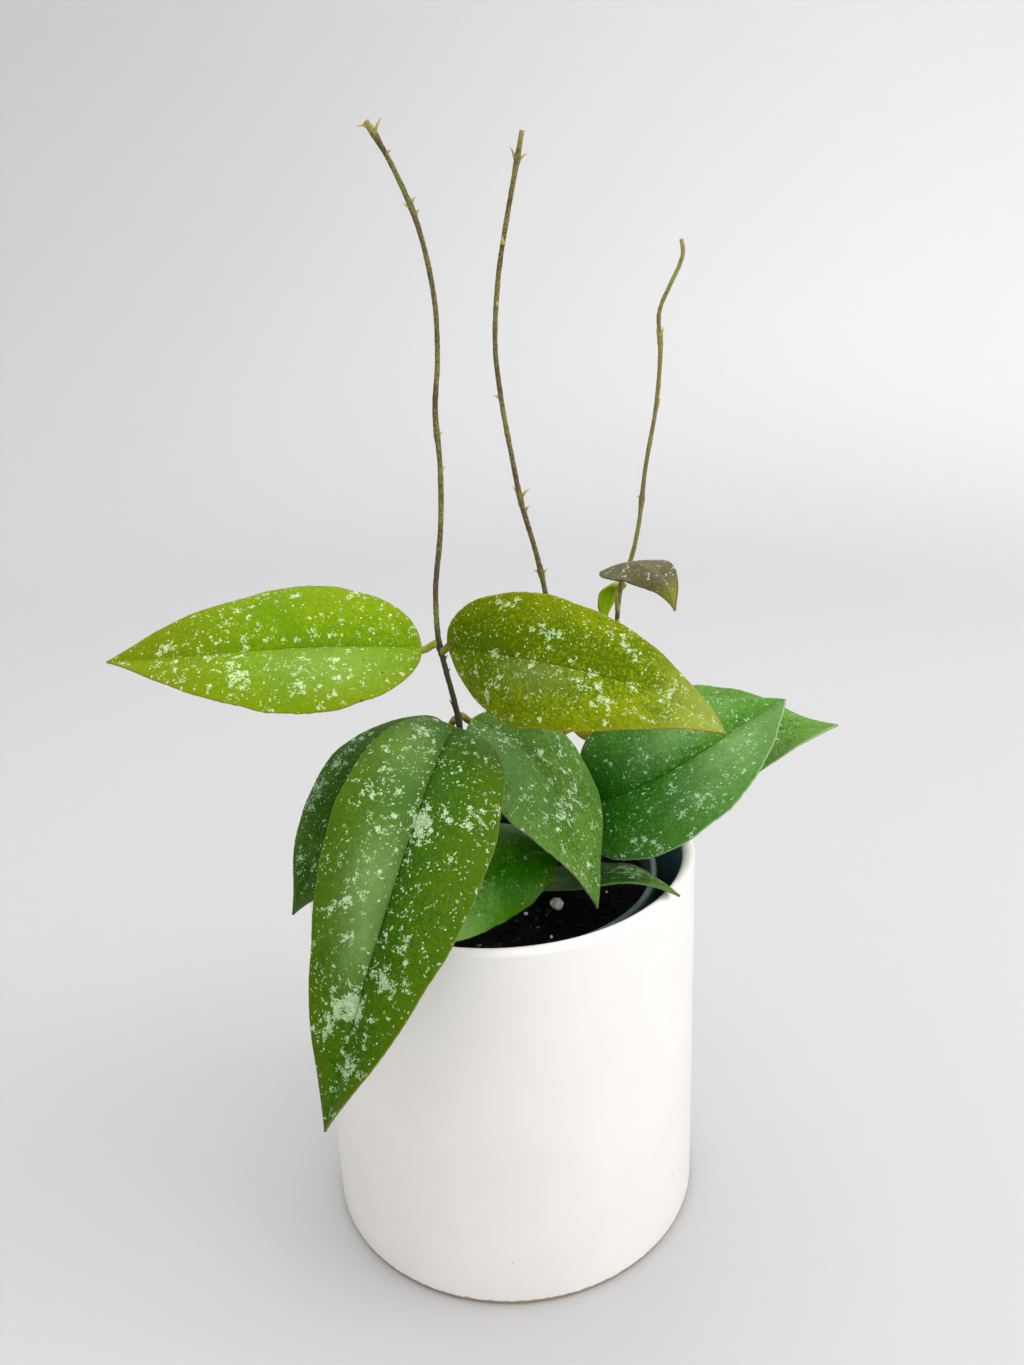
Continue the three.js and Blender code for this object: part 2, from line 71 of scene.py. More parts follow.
class Slot(Enum):
    """The record's material slots."""

    COVER = "cover_glaze"
    NURSERY = "nursery_plastic"
    SOIL = "soil_mix"
    VINE = "vine_bark"
    LEAF_BRIGHT = "leaf_bright"
    LEAF_MATURE = "leaf_mature"
    LEAF_DARK = "leaf_dark"
    LEAF_BRONZE = "leaf_bronze"
    LEAF_YELLOW = "leaf_yellow"


class Field(Enum):
    """Names of the values that meshes carry to their shaders."""

    PLACE = "blade_place"
    PLAN = "blade_plan"
    SPLASH = "splash_density"
    STALK = "stalk_share"
    TENDER = "tender_share"
    TINT = "grain_tint"
    # Painted sheen beside the midrib, signed by side; the other side gets painted shade.
    BLOOM = "bloom_share"


Values = dict[Field, np.ndarray]


# Meshes

@dataclass
class MeshDraft:
    """Gathers points and faces in millimetres, with shader values at each point.

    Args:
        name: The finished object's name.
    """

    name: str
    points: list[np.ndarray] = field(default_factory=list)
    faces: list[tuple[int, ...]] = field(default_factory=list)
    values: dict[Field, list[np.ndarray]] = field(default_factory=dict)
    count: int = 0

    def add_loft(self, rings: np.ndarray, values: Values | None = None, closed: bool = True) -> None:
        """Adds a skin over a row of closed rings, with a face across the first.

        Args:
            rings: An array of shape (rings, points in a ring, 3).
            values: One array for each field, of shape (rings, points) or (rings, points, 3).
            closed: Whether a face lies across the last ring too.
        """
        rows, columns = rings.shape[:2]
        for name, numbers in (values or {}).items():
            self.values.setdefault(name, []).append(numbers.reshape(rows * columns, -1).squeeze())
        self.points.append(rings.reshape(-1, 3))
        first = self.count
        self.count += rows * columns
        for near in range(first, self.count - columns, columns):
            far = near + columns
            for column in range(columns):
                after = (column + 1) % columns
                self.faces.append((near + column, near + after, far + after, far + column))
        self.faces.append(tuple(range(first + columns - 1, first - 1, -1)))
        if closed:
            self.faces.append(tuple(range(self.count - columns, self.count)))

    def plain(self, material: Material | None = None) -> bpy.types.Object:
        """Makes the object, smooth where it has a finish and faceted where it has none.

        Args:
            material: The finish, if it has one.

        Returns:
            The new object, fixed to nothing.
        """
        mesh = bpy.data.meshes.new(self.name)
        mesh.from_pydata((np.vstack(self.points) * MM).tolist(), [], self.faces)
        for name, parts in self.values.items():
            numbers = np.concatenate(parts)
            kind, key = ("FLOAT_VECTOR", "vector") if numbers.ndim == 2 else ("FLOAT", "value")
            attribute = mesh.attributes.new(name.value, kind, "POINT")
            attribute.data.foreach_set(key, numbers.ravel().astype(np.float32))
        if material:
            mesh.polygons.foreach_set("use_smooth", [True] * len(mesh.polygons))
            mesh.validate()
            mesh.materials.append(material)
        piece = bpy.data.objects.new(self.name, mesh)
        bpy.context.scene.collection.objects.link(piece)
        return piece

    def build(self, material: Material, slot: Slot, replaced: str | None = None) -> bpy.types.Object:
        """Makes the object, dresses it and fixes it to the part.

        Args:
            material: The finish of the whole piece.
            slot: The record's slot; not used.
            replaced: The node that the piece stands for, if any.

        Returns:
            The new object.
        """
        piece = self.plain(material)
        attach(piece, BODY)
        if replaced:
            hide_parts(replaced)
        LOG.info("%s: %d faces", self.name, len(piece.data.polygons))
        return piece


def turned_rings(profile: Profile, sides: int) -> np.ndarray:
    """Turns a profile about the pot's axis.

    Args:
        profile: Points (radius, height) in millimetres.
        sides: How many points each ring has.

    Returns:
        Rings of shape (points in the profile, sides, 3).
    """
    angles = np.linspace(0, math.tau, sides, endpoint=False)
    radius, height = (np.array(numbers)[:, None] for numbers in zip(*profile))
    return np.stack([radius * np.cos(angles), radius * np.sin(angles), height + 0 * angles], axis=-1)


def arc(centre: tuple[float, float], radius: float, start: float, end: float, steps: int) -> Profile:
    """Points on a circular arc in a turned profile.

    Args:
        centre: The arc's centre (radius, height).
        radius: The arc's radius.
        start: The first angle in degrees.
        end: The last angle in degrees.
        steps: How many steps the arc is cut into.

    Returns:
        The arc's points, with both ends.
    """
    angles = np.radians(np.linspace(start, end, steps + 1))
    return [(centre[0] + radius * math.cos(a), centre[1] + radius * math.sin(a)) for a in angles]


def smooth_step(low: float, high: float, values: np.ndarray) -> np.ndarray:
    """Rises smoothly from 0 at low to 1 at high."""
    share = np.clip((values - low) / (high - low), 0, 1)
    return share * share * (3 - 2 * share)


# Shaders

FLAT = "2D"
MIDDLE: Triple = (0.5, 0.5, 0.5)
LEVEL: Triple = (1.0, 1.0, 0.0)


class Graph:
    """Short calls for building a node tree.

    Args:
        tree: The material's or group's node tree.
    """

    def __init__(self, tree: bpy.types.NodeTree) -> None:
        """Keeps the node tree."""
        self.tree = tree

    def node(self, kind: str, inputs: dict[str | int, object] | None = None, **settings: object) -> Node:
        """Adds a node, sets its properties and feeds its inputs with sockets or plain values.

        Args:
            kind: The node's type.
            inputs: Sockets or plain values by input.
            settings: The node's own properties.

        Returns:
            The new node.
        """
        made = self.tree.nodes.new(kind)
        for name, value in settings.items():
            setattr(made, name, value)
        for name, value in (inputs or {}).items():
            self.feed(made.inputs[name], value)
        return made

    def feed(self, socket: Socket, value: object) -> None:
        """Links a socket to another, or sets its plain value.

        Args:
            socket: The input to feed.
            value: A socket or a plain value.
        """
        if isinstance(value, Socket):
            self.tree.links.new(value, socket)
        elif isinstance(value, tuple) and socket.type == "RGBA":
            socket.default_value = (*value, 1.0)
        else:
            socket.default_value = value

    def math(self, operation: str, *values: object) -> Socket:
        """One arithmetic step."""
        return self.node("ShaderNodeMath", dict(enumerate(values)), operation=operation).outputs[0]

    def times(self, *values: object) -> Socket:
        """The product of two or more numbers."""
        return reduce(lambda first, second: self.math("MULTIPLY", first, second), values)

    def plus(self, *values: object) -> Socket:
        """The sum of two or more numbers."""
        return reduce(lambda first, second: self.math("ADD", first, second), values)

    def less(self, first: object, second: object) -> Socket:
        """The first number less the second."""
        return self.math("SUBTRACT", first, second)

    def blend(self, values: tuple[Socket, ...], weights: tuple[float, ...]) -> Socket:
        """The sum of numbers, each times its weight."""
        return self.plus(*(self.times(value, weight) for value, weight in zip(values, weights)))

    def vector(self, operation: str, *values: object) -> Socket:
        """One step of vector arithmetic."""
        made = self.node("ShaderNodeVectorMath", dict(enumerate(values)), operation=operation)
        return made.outputs["Value" if operation == "LENGTH" else "Vector"]

    def scaled(self, place: Socket, scale: float) -> Socket:
        """A place vector times a number."""
        made = self.node("ShaderNodeVectorMath", {0: place, "Scale": scale}, operation="SCALE")
        return made.outputs["Vector"]

    def noise(self, place: Socket, scale: float, detail: float = 3.0, rough: float = 0.55) -> Socket:
        """Smooth noise from 0 to 1."""
        inputs = {"Vector": place, "Scale": scale, "Detail": detail, "Roughness": rough}
        return self.node("ShaderNodeTexNoise", inputs).outputs[0]

    def warped(self, place: Socket, scale: float, detail: float, reach: float) -> Socket:
        """Places that smooth noise shifts about.

        Args:
            place: Places in millimetres.
            scale: How many waves or cells a millimetre holds.
            detail: How fine the noise is.
            reach: How far places move, in millimetres.

        Returns:
            The places moved.
        """
        inputs = {"Vector": place, "Scale": scale, "Detail": detail}
        drift = self.node("ShaderNodeTexNoise", inputs).outputs[1]
        return self.vector("ADD", place, self.scaled(self.vector("SUBTRACT", drift, MIDDLE), reach))

    def cells(self, place: Socket, scale: float, dimensions: str = FLAT) -> tuple[Socket, list[Socket]]:
        """Distances to the middles of random cells, and three random numbers for each cell.

        Args:
            place: Places in millimetres.
            scale: How many waves or cells a millimetre holds.
            dimensions: Whether the cells are flat or solid.

        Returns:
            The distances and each cell's three numbers.
        """
        inputs = {"Vector": place, "Scale": scale}
        made = self.node("ShaderNodeTexVoronoi", inputs, voronoi_dimensions=dimensions)
        return made.outputs["Distance"], self.parts(made.outputs["Color"])

    def borders(self, place: Socket, scale: float) -> Socket:
        """Distances to the borders between flat random cells.

        Args:
            place: Places in millimetres.
            scale: How many waves or cells a millimetre holds.

        Returns:
            The distances.
        """
        made = self.node("ShaderNodeTexVoronoi", voronoi_dimensions=FLAT, feature="DISTANCE_TO_EDGE")
        self.feed(made.inputs["Vector"], place)
        self.feed(made.inputs["Scale"], scale)
        return made.outputs["Distance"]

    def span(self, value: Socket, low: object, high: object, first: float = 0, last: float = 1) -> Socket:
        """Maps a value smoothly from low..high to first..last, and holds it outside."""
        inputs = {"Value": value, "From Min": low, "From Max": high, "To Min": first, "To Max": last}
        return self.node("ShaderNodeMapRange", inputs, interpolation_type="SMOOTHSTEP").outputs["Result"]

    def mix(self, share: object, first: object, second: object) -> Socket:
        """Mixes two colours.

        Args:
            share: How much of the second colour shows.
            first: The first colour.
            second: The second colour.

        Returns:
            The mixed colour.
        """
        made = self.node("ShaderNodeMix", data_type="RGBA")
        self.feed(made.inputs["Factor"], share)
        colours = [socket for socket in made.inputs if socket.type == "RGBA"]
        self.feed(colours[0], first)
        self.feed(colours[1], second)
        return next(socket for socket in made.outputs if socket.type == "RGBA")

    def value_of(self, name: Field, output: str = "Fac") -> Socket:
        """A value that the mesh carries."""
        return self.node("ShaderNodeAttribute", attribute_name=name.value).outputs[output]

    def parts(self, vector: Socket) -> list[Socket]:
        """The three numbers of a vector."""
        return list(self.node("ShaderNodeSeparateXYZ", {0: vector}).outputs)


class SocketKind(Enum):
    """Socket types of a shared node group."""

    NUMBER = "NodeSocketFloat"
    VECTOR = "NodeSocketVector"
    COLOUR = "NodeSocketColor"


Sockets = dict[str, SocketKind]


def shared_group(name: str, takes: Sockets, gives: Sockets) -> tuple[Graph, dict, dict]:
    """Starts a node group with named inputs and outputs.

    Args:
        name: The group's name.
        takes: Each input's name and kind.
        gives: Each output's name and kind.

    Returns:
        The group's graph, its input sockets by name and its output sockets by name.
    """
    tree = bpy.data.node_groups.new(name, "ShaderNodeTree")
    for way, sockets in (("INPUT", takes), ("OUTPUT", gives)):
        for label, kind in sockets.items():
            tree.interface.new_socket(label, in_out=way, socket_type=kind.value)
    graph = Graph(tree)
    inputs = graph.node("NodeGroupInput").outputs
    outputs = graph.node("NodeGroupOutput").inputs
    return graph, {label: inputs[label] for label in takes}, {label: outputs[label] for label in gives}


SPLASH_WARP = (0.9, 3.0, 1.5)
SPLASH_CLOUDS = (0.09, 2.0)
CLUSTERS = (0.36, 4.0, 0.6)
SHEET_BODY = (0.3, 5.0, 0.68)
CHIP_SCALE = 2.3
LARGE_SCALE = 0.85
LARGE_STRENGTH = 0.85
CROWD_LIMIT = 0.665
CROWD_SPAN = (-0.03, 0.08)
CROWD_GAIN = 0.06
CHIP_CHANCES = (0.64, 0.024)
LARGE_CHANCES = (0.2, 0.0012)
SHEET_LIMIT = 0.84
SHEET_GAIN = 0.08


def splash_group() -> bpy.types.NodeTree:
    """Silver splashes: angular chips, alone or in ragged crowds, and solid sheets with bright rims.

    Returns:
        The group, which gives the strength of chips, sheets and rims.
    """
    takes = {"place": SocketKind.VECTOR, "density": SocketKind.NUMBER}
    gives = dict.fromkeys(("chips", "sheets", "rims"), SocketKind.NUMBER)
    graph, takes, gives = shared_group("silver_splashes", takes, gives)
    place = takes["place"]
    warped = graph.warped(place, *SPLASH_WARP)
    thinning = graph.span(graph.noise(place, *SPLASH_CLOUDS), 0.3, 0.7, 0.5, 1.4)
    density = graph.times(takes["density"], thinning)

    cluster = graph.noise(place, *CLUSTERS)
    limit = graph.less(CROWD_LIMIT, graph.times(density, CROWD_GAIN))
    crowd = graph.span(graph.less(cluster, limit), *CROWD_SPAN)
    _, luck = graph.cells(warped, CHIP_SCALE)
    border = graph.borders(warped, CHIP_SCALE)
    chance = graph.blend((crowd, density), CHIP_CHANCES)
    chosen = graph.math("LESS_THAN", luck[0], chance)
    inset = graph.plus(graph.times(graph.math("POWER", luck[1], 2.0), 0.2), 0.03)
    chip = graph.times(graph.span(graph.less(border, inset), 0.0, 0.05), chosen)
    _, large_luck = graph.cells(warped, LARGE_SCALE)
    large_chance = graph.blend((crowd, density), LARGE_CHANCES)
    large_chosen = graph.math("LESS_THAN", large_luck[0], large_chance)
    large_chip = graph.times(graph.span(graph.borders(warped, LARGE_SCALE), 0.03, 0.07), large_chosen)
    graph.feed(gives["chips"], graph.math("MAXIMUM", chip, graph.times(large_chip, LARGE_STRENGTH)))

    body = graph.noise(warped, *SHEET_BODY)
    level = graph.less(body, graph.less(SHEET_LIMIT, graph.times(density, SHEET_GAIN)))
    sheet = graph.span(level, 0.0, 0.012)
    rim = graph.times(sheet, graph.span(level, 0.04, 0.02))
    graph.feed(gives["sheets"], sheet)
    graph.feed(gives["rims"], graph.times(rim, graph.span(border, 0.02, 0.08, 0.2, 1.0)))
    return graph.tree


SCAR: Colour = (0.07, 0.04, 0.01)
# Near-black green of the painted shade band beside the midrib.
SHADED: Colour = (0.0, 0.012, 0.004)
CLOUDS = (0.06, 2.0, 0.5)
MOTTLE = (0.5, 4.0, 0.65)
GRAIN = (2.4, 2.0, 0.6)
SKIN_WARP = (0.6, 2.0, 2.2)
SPECK_SCALE = 0.9
NET_SCALE = 0.4
SCAR_SCALE = 0.16
TONE_WEIGHTS = (0.36, 0.36, 0.22, 0.14)
RELIEF_WEIGHTS = (0.09, 0.22, -0.08, 0.03)
TONE_SPAN = (0.42, 0.67)
EDGE_SPAN = (0.3, 1.0)
NET_LINE = (0.09, 0.01)
SHADE_SPAN = (9.0, 0.0)
VEIN_LINE = (0.05, 0.0)
MIDRIB_LINE = (0.7, 0.25)
MARGIN_LINE = (0.6, 0.25)
UPPER_FACE = (0.2, 0.8)
LOWER_FACE = (-0.2, -0.8)
TIP_RUN = 0.35
VEIN_STRENGTH = 0.35
SHEET_STRENGTH = 0.55
MARGIN_STRENGTH = 0.85
LEAF_COLOURS = ("deep", "fresh", "edge", "under", "vein", "splash", "margin", "tip", "stalk", "bloom")
LEAF_AMOUNTS = (
    "splash_amount", "edge_reach", "tip_reach", "vein_amount", "net_amount", "valley", "ripening", "painted_shade",
)


def leaf_group(splashes: bpy.types.NodeTree) -> bpy.types.NodeTree:
    """The skin of a leaf, by the place of each point on the flat blade, with a painted sheen on one side of
    the midrib and painted shade on the other. Heights are in millimetres.

    Args:
        splashes: The shared group of silver splashes.

    Returns:
        The group, which gives colour, roughness and height.
    """
    takes = dict.fromkeys(LEAF_COLOURS, SocketKind.COLOUR)
    takes |= dict.fromkeys((*LEAF_AMOUNTS, "density", "stalk_share", "bloom_share"), SocketKind.NUMBER)
    takes |= dict.fromkeys(("place", "plan", "shift"), SocketKind.VECTOR)
    gives = {"colour": SocketKind.COLOUR, "roughness": SocketKind.NUMBER, "height": SocketKind.NUMBER}
    graph, takes, gives = shared_group("leaf_skin", takes, gives)
    place = graph.vector("ADD", takes["place"], takes["shift"])
    _, wide, face = graph.parts(takes["place"])
    share, across, phase = graph.parts(takes["plan"])
    off_middle = graph.math("ABSOLUTE", across)
    reach = graph.math("ABSOLUTE", wide)

    clouds = graph.noise(place, *CLOUDS)
    mottle = graph.noise(place, *MOTTLE)
    grain = graph.noise(place, *GRAIN)
    warped = graph.warped(place, *SKIN_WARP)
    speck = graph.span(graph.cells(warped, SPECK_SCALE)[0], 0.45, 0.12)
    tone = graph.blend((clouds, mottle, grain, speck), TONE_WEIGHTS)
    ripe = graph.times(graph.less(share, 0.4), takes["ripening"])
    skin = graph.mix(graph.span(graph.plus(tone, ripe), *TONE_SPAN), takes["deep"], takes["fresh"])
    outward = graph.plus(off_middle, graph.times(graph.less(tone, 0.5), 1.6))
    edge_share = graph.times(graph.span(outward, *EDGE_SPAN), takes["edge_reach"])
    skin = graph.mix(edge_share, skin, takes["edge"])
    net = graph.span(graph.borders(warped, NET_SCALE), *NET_LINE)
    skin = graph.mix(graph.times(net, takes["net_amount"]), skin, takes["deep"])

    # Painted sheen: a pale colour on one side of the midrib, where the blade would catch the light.
    lit = graph.times(graph.math("SIGN", wide), takes["bloom_share"])
    bloom = graph.times(graph.math("MAXIMUM", lit, 0.0), graph.span(mottle, 0.3, 0.7, 0.75, 1.0))
    skin = graph.mix(bloom, skin, takes["bloom"])
    # Painted shade: a dark band beside the midrib on the side away from the painted sheen.
    unlit = graph.math("MAXIMUM", graph.times(lit, -1.0), 0.0)
    painted_shade = graph.times(unlit, graph.span(reach, *SHADE_SPAN), takes["painted_shade"])
    skin = graph.mix(painted_shade, skin, graph.mix(0.6, takes["deep"], SHADED))

    wave = graph.math("ABSOLUTE", graph.less(graph.math("FRACT", phase), 0.5))
    side_vein = graph.span(wave, *VEIN_LINE)
    skin = graph.mix(graph.times(side_vein, takes["vein_amount"], VEIN_STRENGTH), skin, takes["vein"])
    midrib = graph.times(graph.span(reach, *MIDRIB_LINE), takes["vein_amount"])
    skin = graph.mix(midrib, skin, takes["vein"])
    distance, luck = graph.cells(place, SCAR_SCALE)
    spot = graph.math("LESS_THAN", distance, graph.times(luck[0], 0.05))
    skin = graph.mix(graph.times(spot, graph.math("GREATER_THAN", luck[1], 0.6)), skin, SCAR)

    density = graph.times(takes["density"], takes["splash_amount"])
    splash = graph.node("ShaderNodeGroup", {"place": place, "density": density}, node_tree=splashes).outputs
    upper = graph.span(face, *UPPER_FACE)
    sheets = graph.times(splash["sheets"], upper)
    chips = graph.times(graph.math("MAXIMUM", splash["chips"], splash["rims"]), upper)
    tip_start = graph.less(1.0, takes["tip_reach"])
    ragged_share = graph.plus(share, graph.times(graph.less(clouds, 0.5), 0.25))
    tip = graph.span(ragged_share, tip_start, graph.plus(tip_start, TIP_RUN))
    skin = graph.mix(graph.times(tip, graph.span(tone, 0.44, 0.64, 0.95, 0.5)), skin, takes["tip"])
    skin = graph.mix(graph.times(sheets, SHEET_STRENGTH), skin, takes["splash"])
    skin = graph.mix(chips, skin, takes["splash"])
    left_over = graph.less(graph.math("DIVIDE", 1.0, graph.math("MAXIMUM", off_middle, 0.05)), 1.0)
    inward = graph.plus(graph.times(reach, left_over), graph.times(grain, 0.3))
    rim = graph.span(inward, *MARGIN_LINE)
    skin = graph.mix(graph.times(rim, MARGIN_STRENGTH), skin, takes["margin"])
    below = graph.mix(graph.times(side_vein, VEIN_STRENGTH), takes["under"], takes["vein"])
    skin = graph.mix(graph.span(face, *LOWER_FACE), skin, below)
    graph.feed(gives["colour"], graph.mix(takes["stalk_share"], skin, takes["stalk"]))

    gloss = graph.span(mottle, 0.3, 0.7, 0.38, 0.48)
    graph.feed(gives["roughness"], graph.plus(gloss, graph.times(sheets, 0.1)))
    fade = graph.math("EXPONENT", graph.times(reach, -0.2))
    valley = graph.times(graph.less(1.0, fade), takes["valley"])
    relief = graph.blend((grain, mottle, side_vein, chips), RELIEF_WEIGHTS)
    graph.feed(gives["height"], graph.plus(valley, relief))
    return graph.tree


class Painter:
    """Builds every finish, with its shared groups built once."""

    def __init__(self) -> None:
        """Builds the shared groups."""
        self.leaf_skin = leaf_group(splash_group())

    @staticmethod
    def material(name: str, **constants: object) -> tuple[Material, Graph, Node]:
        """Starts a material.

        Args:
            name: The material's name.
            constants: Values for the shader's own sockets, with underscores for spaces.

        Returns:
            The material, its graph and its shader node.
        """
        made = bpy.data.materials.new(name)
        made.use_nodes = True
        graph = Graph(made.node_tree)
        shader = made.node_tree.nodes["Principled BSDF"]
        for label, value in constants.items():
            graph.feed(shader.inputs[label.replace("_", " ")], value)
        return made, graph, shader

    @staticmethod
    def bump(graph: Graph, shader: Node, height: Socket, depth: float, strength: float) -> None:
        """Feeds a height in 0..1 to the shader's normal, as relief of a depth in millimetres."""
        inputs = {"Height": height, "Distance": depth * MM, "Strength": strength}
        graph.feed(shader.inputs["Normal"], graph.node("ShaderNodeBump", inputs).outputs["Normal"])

    @staticmethod
    def place_mm(graph: Graph) -> Socket:
        """Places on the object, in millimetres."""
        return graph.scaled(graph.node("ShaderNodeTexCoord").outputs["Object"], 1 / MM)


@dataclass(frozen=True)
class LeafFinish:
    """Colours and marks of one leaf, with a painted sheen colour and a painted shade strength. Colours are
    linear.
    """

    deep: Colour
    fresh: Colour
    edge: Colour = (0.14, 0.22, 0.01)
    under: Colour = (0.12, 0.2, 0.06)
    vein: Colour = (0.16, 0.26, 0.08)
    splash: Colour = (0.5, 0.62, 0.36)
    margin: Colour = (0.28, 0.2, 0.04)
    tip: Colour = (0.12, 0.2, 0.03)
    stalk: Colour = (0.22, 0.24, 0.04)
    # Colour of the painted sheen.
    bloom: Colour = (0.22, 0.33, 0.1)
    splash_amount: float = 1.0
    edge_reach: float = 0.5
    tip_reach: float = 0.0
    vein_amount: float = 0.25
    net_amount: float = 0.3
    valley: float = 0.9
    ripening: float = 0.0
    coat: float = 0.0
    gloss: float = 0.1
    # Strength of the painted shade band beside the midrib.
    painted_shade: float = 1.0

    def make(self, painter: Painter, name: str, shift: float) -> Material:
        """Builds the leaf's material.

        Args:
            painter: Holds the shared groups.
            name: The material's name.
            shift: Where in the patterns the leaf lies, in millimetres.

        Returns:
            The material.
        """
        made, graph, shader = painter.material(
            name, Coat_Weight=self.coat, Coat_Roughness=0.25, Specular_IOR_Level=self.gloss)
        inputs = {label: getattr(self, label) for label in LEAF_COLOURS + LEAF_AMOUNTS}
        inputs |= {
            "place": graph.value_of(Field.PLACE, "Vector"), "plan": graph.value_of(Field.PLAN, "Vector"),
            "shift": (3 * shift, shift, 0.0), "density": graph.value_of(Field.SPLASH),
            "stalk_share": graph.value_of(Field.STALK), "bloom_share": graph.value_of(Field.BLOOM),
        }
        skin = graph.node("ShaderNodeGroup", inputs, node_tree=painter.leaf_skin).outputs
        graph.feed(shader.inputs["Base Color"], skin["colour"])
        graph.feed(shader.inputs["Roughness"], skin["roughness"])
        painter.bump(graph, shader, skin["height"], 1.0, 1.0)
        return made


@dataclass(frozen=True)
class BarkFinish:
    """A stem's skin: brown bark speckled with green, darker where it is old, yellow on scales and buds."""

    bark: Colour = (0.07, 0.046, 0.028)
    green: Colour = (0.19, 0.19, 0.035)
    aged: Colour = (0.035, 0.026, 0.017)
    tender: Colour = (0.6, 0.48, 0.13)
    aged_height: float = 0.0

    FLECKS = (1.5, 3.0, 0.7)
    CLOUDS = (0.1, 2.0)
    WARTS = (2.6, 3.0, 0.6)
    GREEN_SPAN = (0.66, 0.86)
    AGED_RUN = 3.0
    AGED_MOST = 0.85

    def make(self, painter: Painter, name: str) -> Material:
        """Builds the stem's material.

        Args:
            painter: Holds the shared groups.
            name: The material's name.

        Returns:
            The material.
        """
        made, graph, shader = painter.material(name, Roughness=0.6, Specular_IOR_Level=0.25)
        place = painter.place_mm(graph)
        fleck = graph.noise(place, *self.FLECKS)
        cloud = graph.noise(place, *self.CLOUDS)
        share = graph.span(graph.plus(fleck, graph.times(cloud, 0.5)), *self.GREEN_SPAN)
        skin = graph.mix(share, self.bark, self.green)
        height = graph.parts(place)[2]
        young, aged = self.aged_height + self.AGED_RUN, self.aged_height - self.AGED_RUN
        old = graph.span(height, young, aged, 0.0, self.AGED_MOST)
        skin = graph.mix(old, skin, self.aged)
        skin = graph.mix(graph.value_of(Field.TENDER), skin, self.tender)
        graph.feed(shader.inputs["Base Color"], skin)
        painter.bump(graph, shader, graph.noise(place, *self.WARTS), 0.2, 0.9)
        return made


@dataclass(frozen=True)
class GlazeFinish:
    """Satin off-white glaze with tiny pinholes, painted shade on the inner wall below the lip, and a brown
    band at the foot's edge.
    """

    glaze: Colour = (0.81, 0.783, 0.757)
    warm: Colour = (0.79, 0.76, 0.725)
    # inside: painted shade on the inner wall below the lip.
    inside: Colour = (0.06, 0.13, 0.14)
    pinhole: Colour = (0.12, 0.1, 0.08)
    foot_band: Colour = (0.36, 0.23, 0.13)
    foot_band_height: float = 2.0
    inside_shade_drop: float = 3.0

    CLOUDS = (0.03, 3.0)
    HAZE = (0.2, 3.0)
    FOOT_EDGE = (0.5, 2.0)
    THROWN = (0.12, 2.0)
    PINHOLE_SCALE = 0.11
    PINHOLE_SIZE = 0.05
    PINHOLE_SHARE = 0.5
    GLOSS_SPAN = (0.34, 0.44)

    def make(self, painter: Painter, name: str) -> Material:
        """Builds the cover pot's material.

        Args:
            painter: Holds the shared groups.
            name: The material's name.

        Returns:
            The material.
        """
        made, graph, shader = painter.material(name, Coat_Weight=0.2, Coat_Roughness=0.2)
        place = painter.place_mm(graph)
        cloud = graph.noise(place, *self.CLOUDS)
        skin = graph.mix(graph.span(cloud, 0.35, 0.65), self.glaze, self.warm)
        distance, luck = graph.cells(place, self.PINHOLE_SCALE, dimensions="3D")
        near = graph.math("LESS_THAN", distance, graph.times(luck[0], self.PINHOLE_SIZE))
        hole = graph.times(near, graph.math("LESS_THAN", luck[1], self.PINHOLE_SHARE))
        skin = graph.mix(graph.times(hole, 0.6), skin, self.pinhole)
        height = graph.parts(place)[2]
        # A ragged brown band round the foot's edge.
        ragged = graph.plus(height, graph.times(graph.noise(place, *self.FOOT_EDGE), 1.4))
        foot_band = graph.span(ragged, self.foot_band_height + 0.9, self.foot_band_height + 0.5)
        skin = graph.mix(foot_band, skin, self.foot_band)
        flat = graph.vector("LENGTH", graph.vector("MULTIPLY", place, LEVEL))
        # Painted shade on the inner wall, from a little below the lip down to the floor.
        bore, drop = COVER_RADIUS - COVER_WALL, COVER_HEIGHT - self.inside_shade_drop
        inner = graph.span(flat, bore + 1.2, bore + 0.4)
        below = graph.span(height, drop + 1.0, drop - 1.0)
        above_floor = graph.math("GREATER_THAN", height, COVER_FLOOR / 2)
        dark = graph.times(inner, below, above_floor)
        graph.feed(shader.inputs["Base Color"], graph.mix(dark, skin, self.inside))
        haze = graph.noise(place, *self.HAZE)
        graph.feed(shader.inputs["Roughness"], graph.span(haze, 0.3, 0.7, *self.GLOSS_SPAN))
        ripple = graph.noise(graph.vector("MULTIPLY", place, (0.4, 0.4, 1.0)), *self.THROWN)
        relief = graph.less(ripple, graph.times(hole, 0.5))
        painter.bump(graph, shader, relief, 0.5, 0.25)
        return made


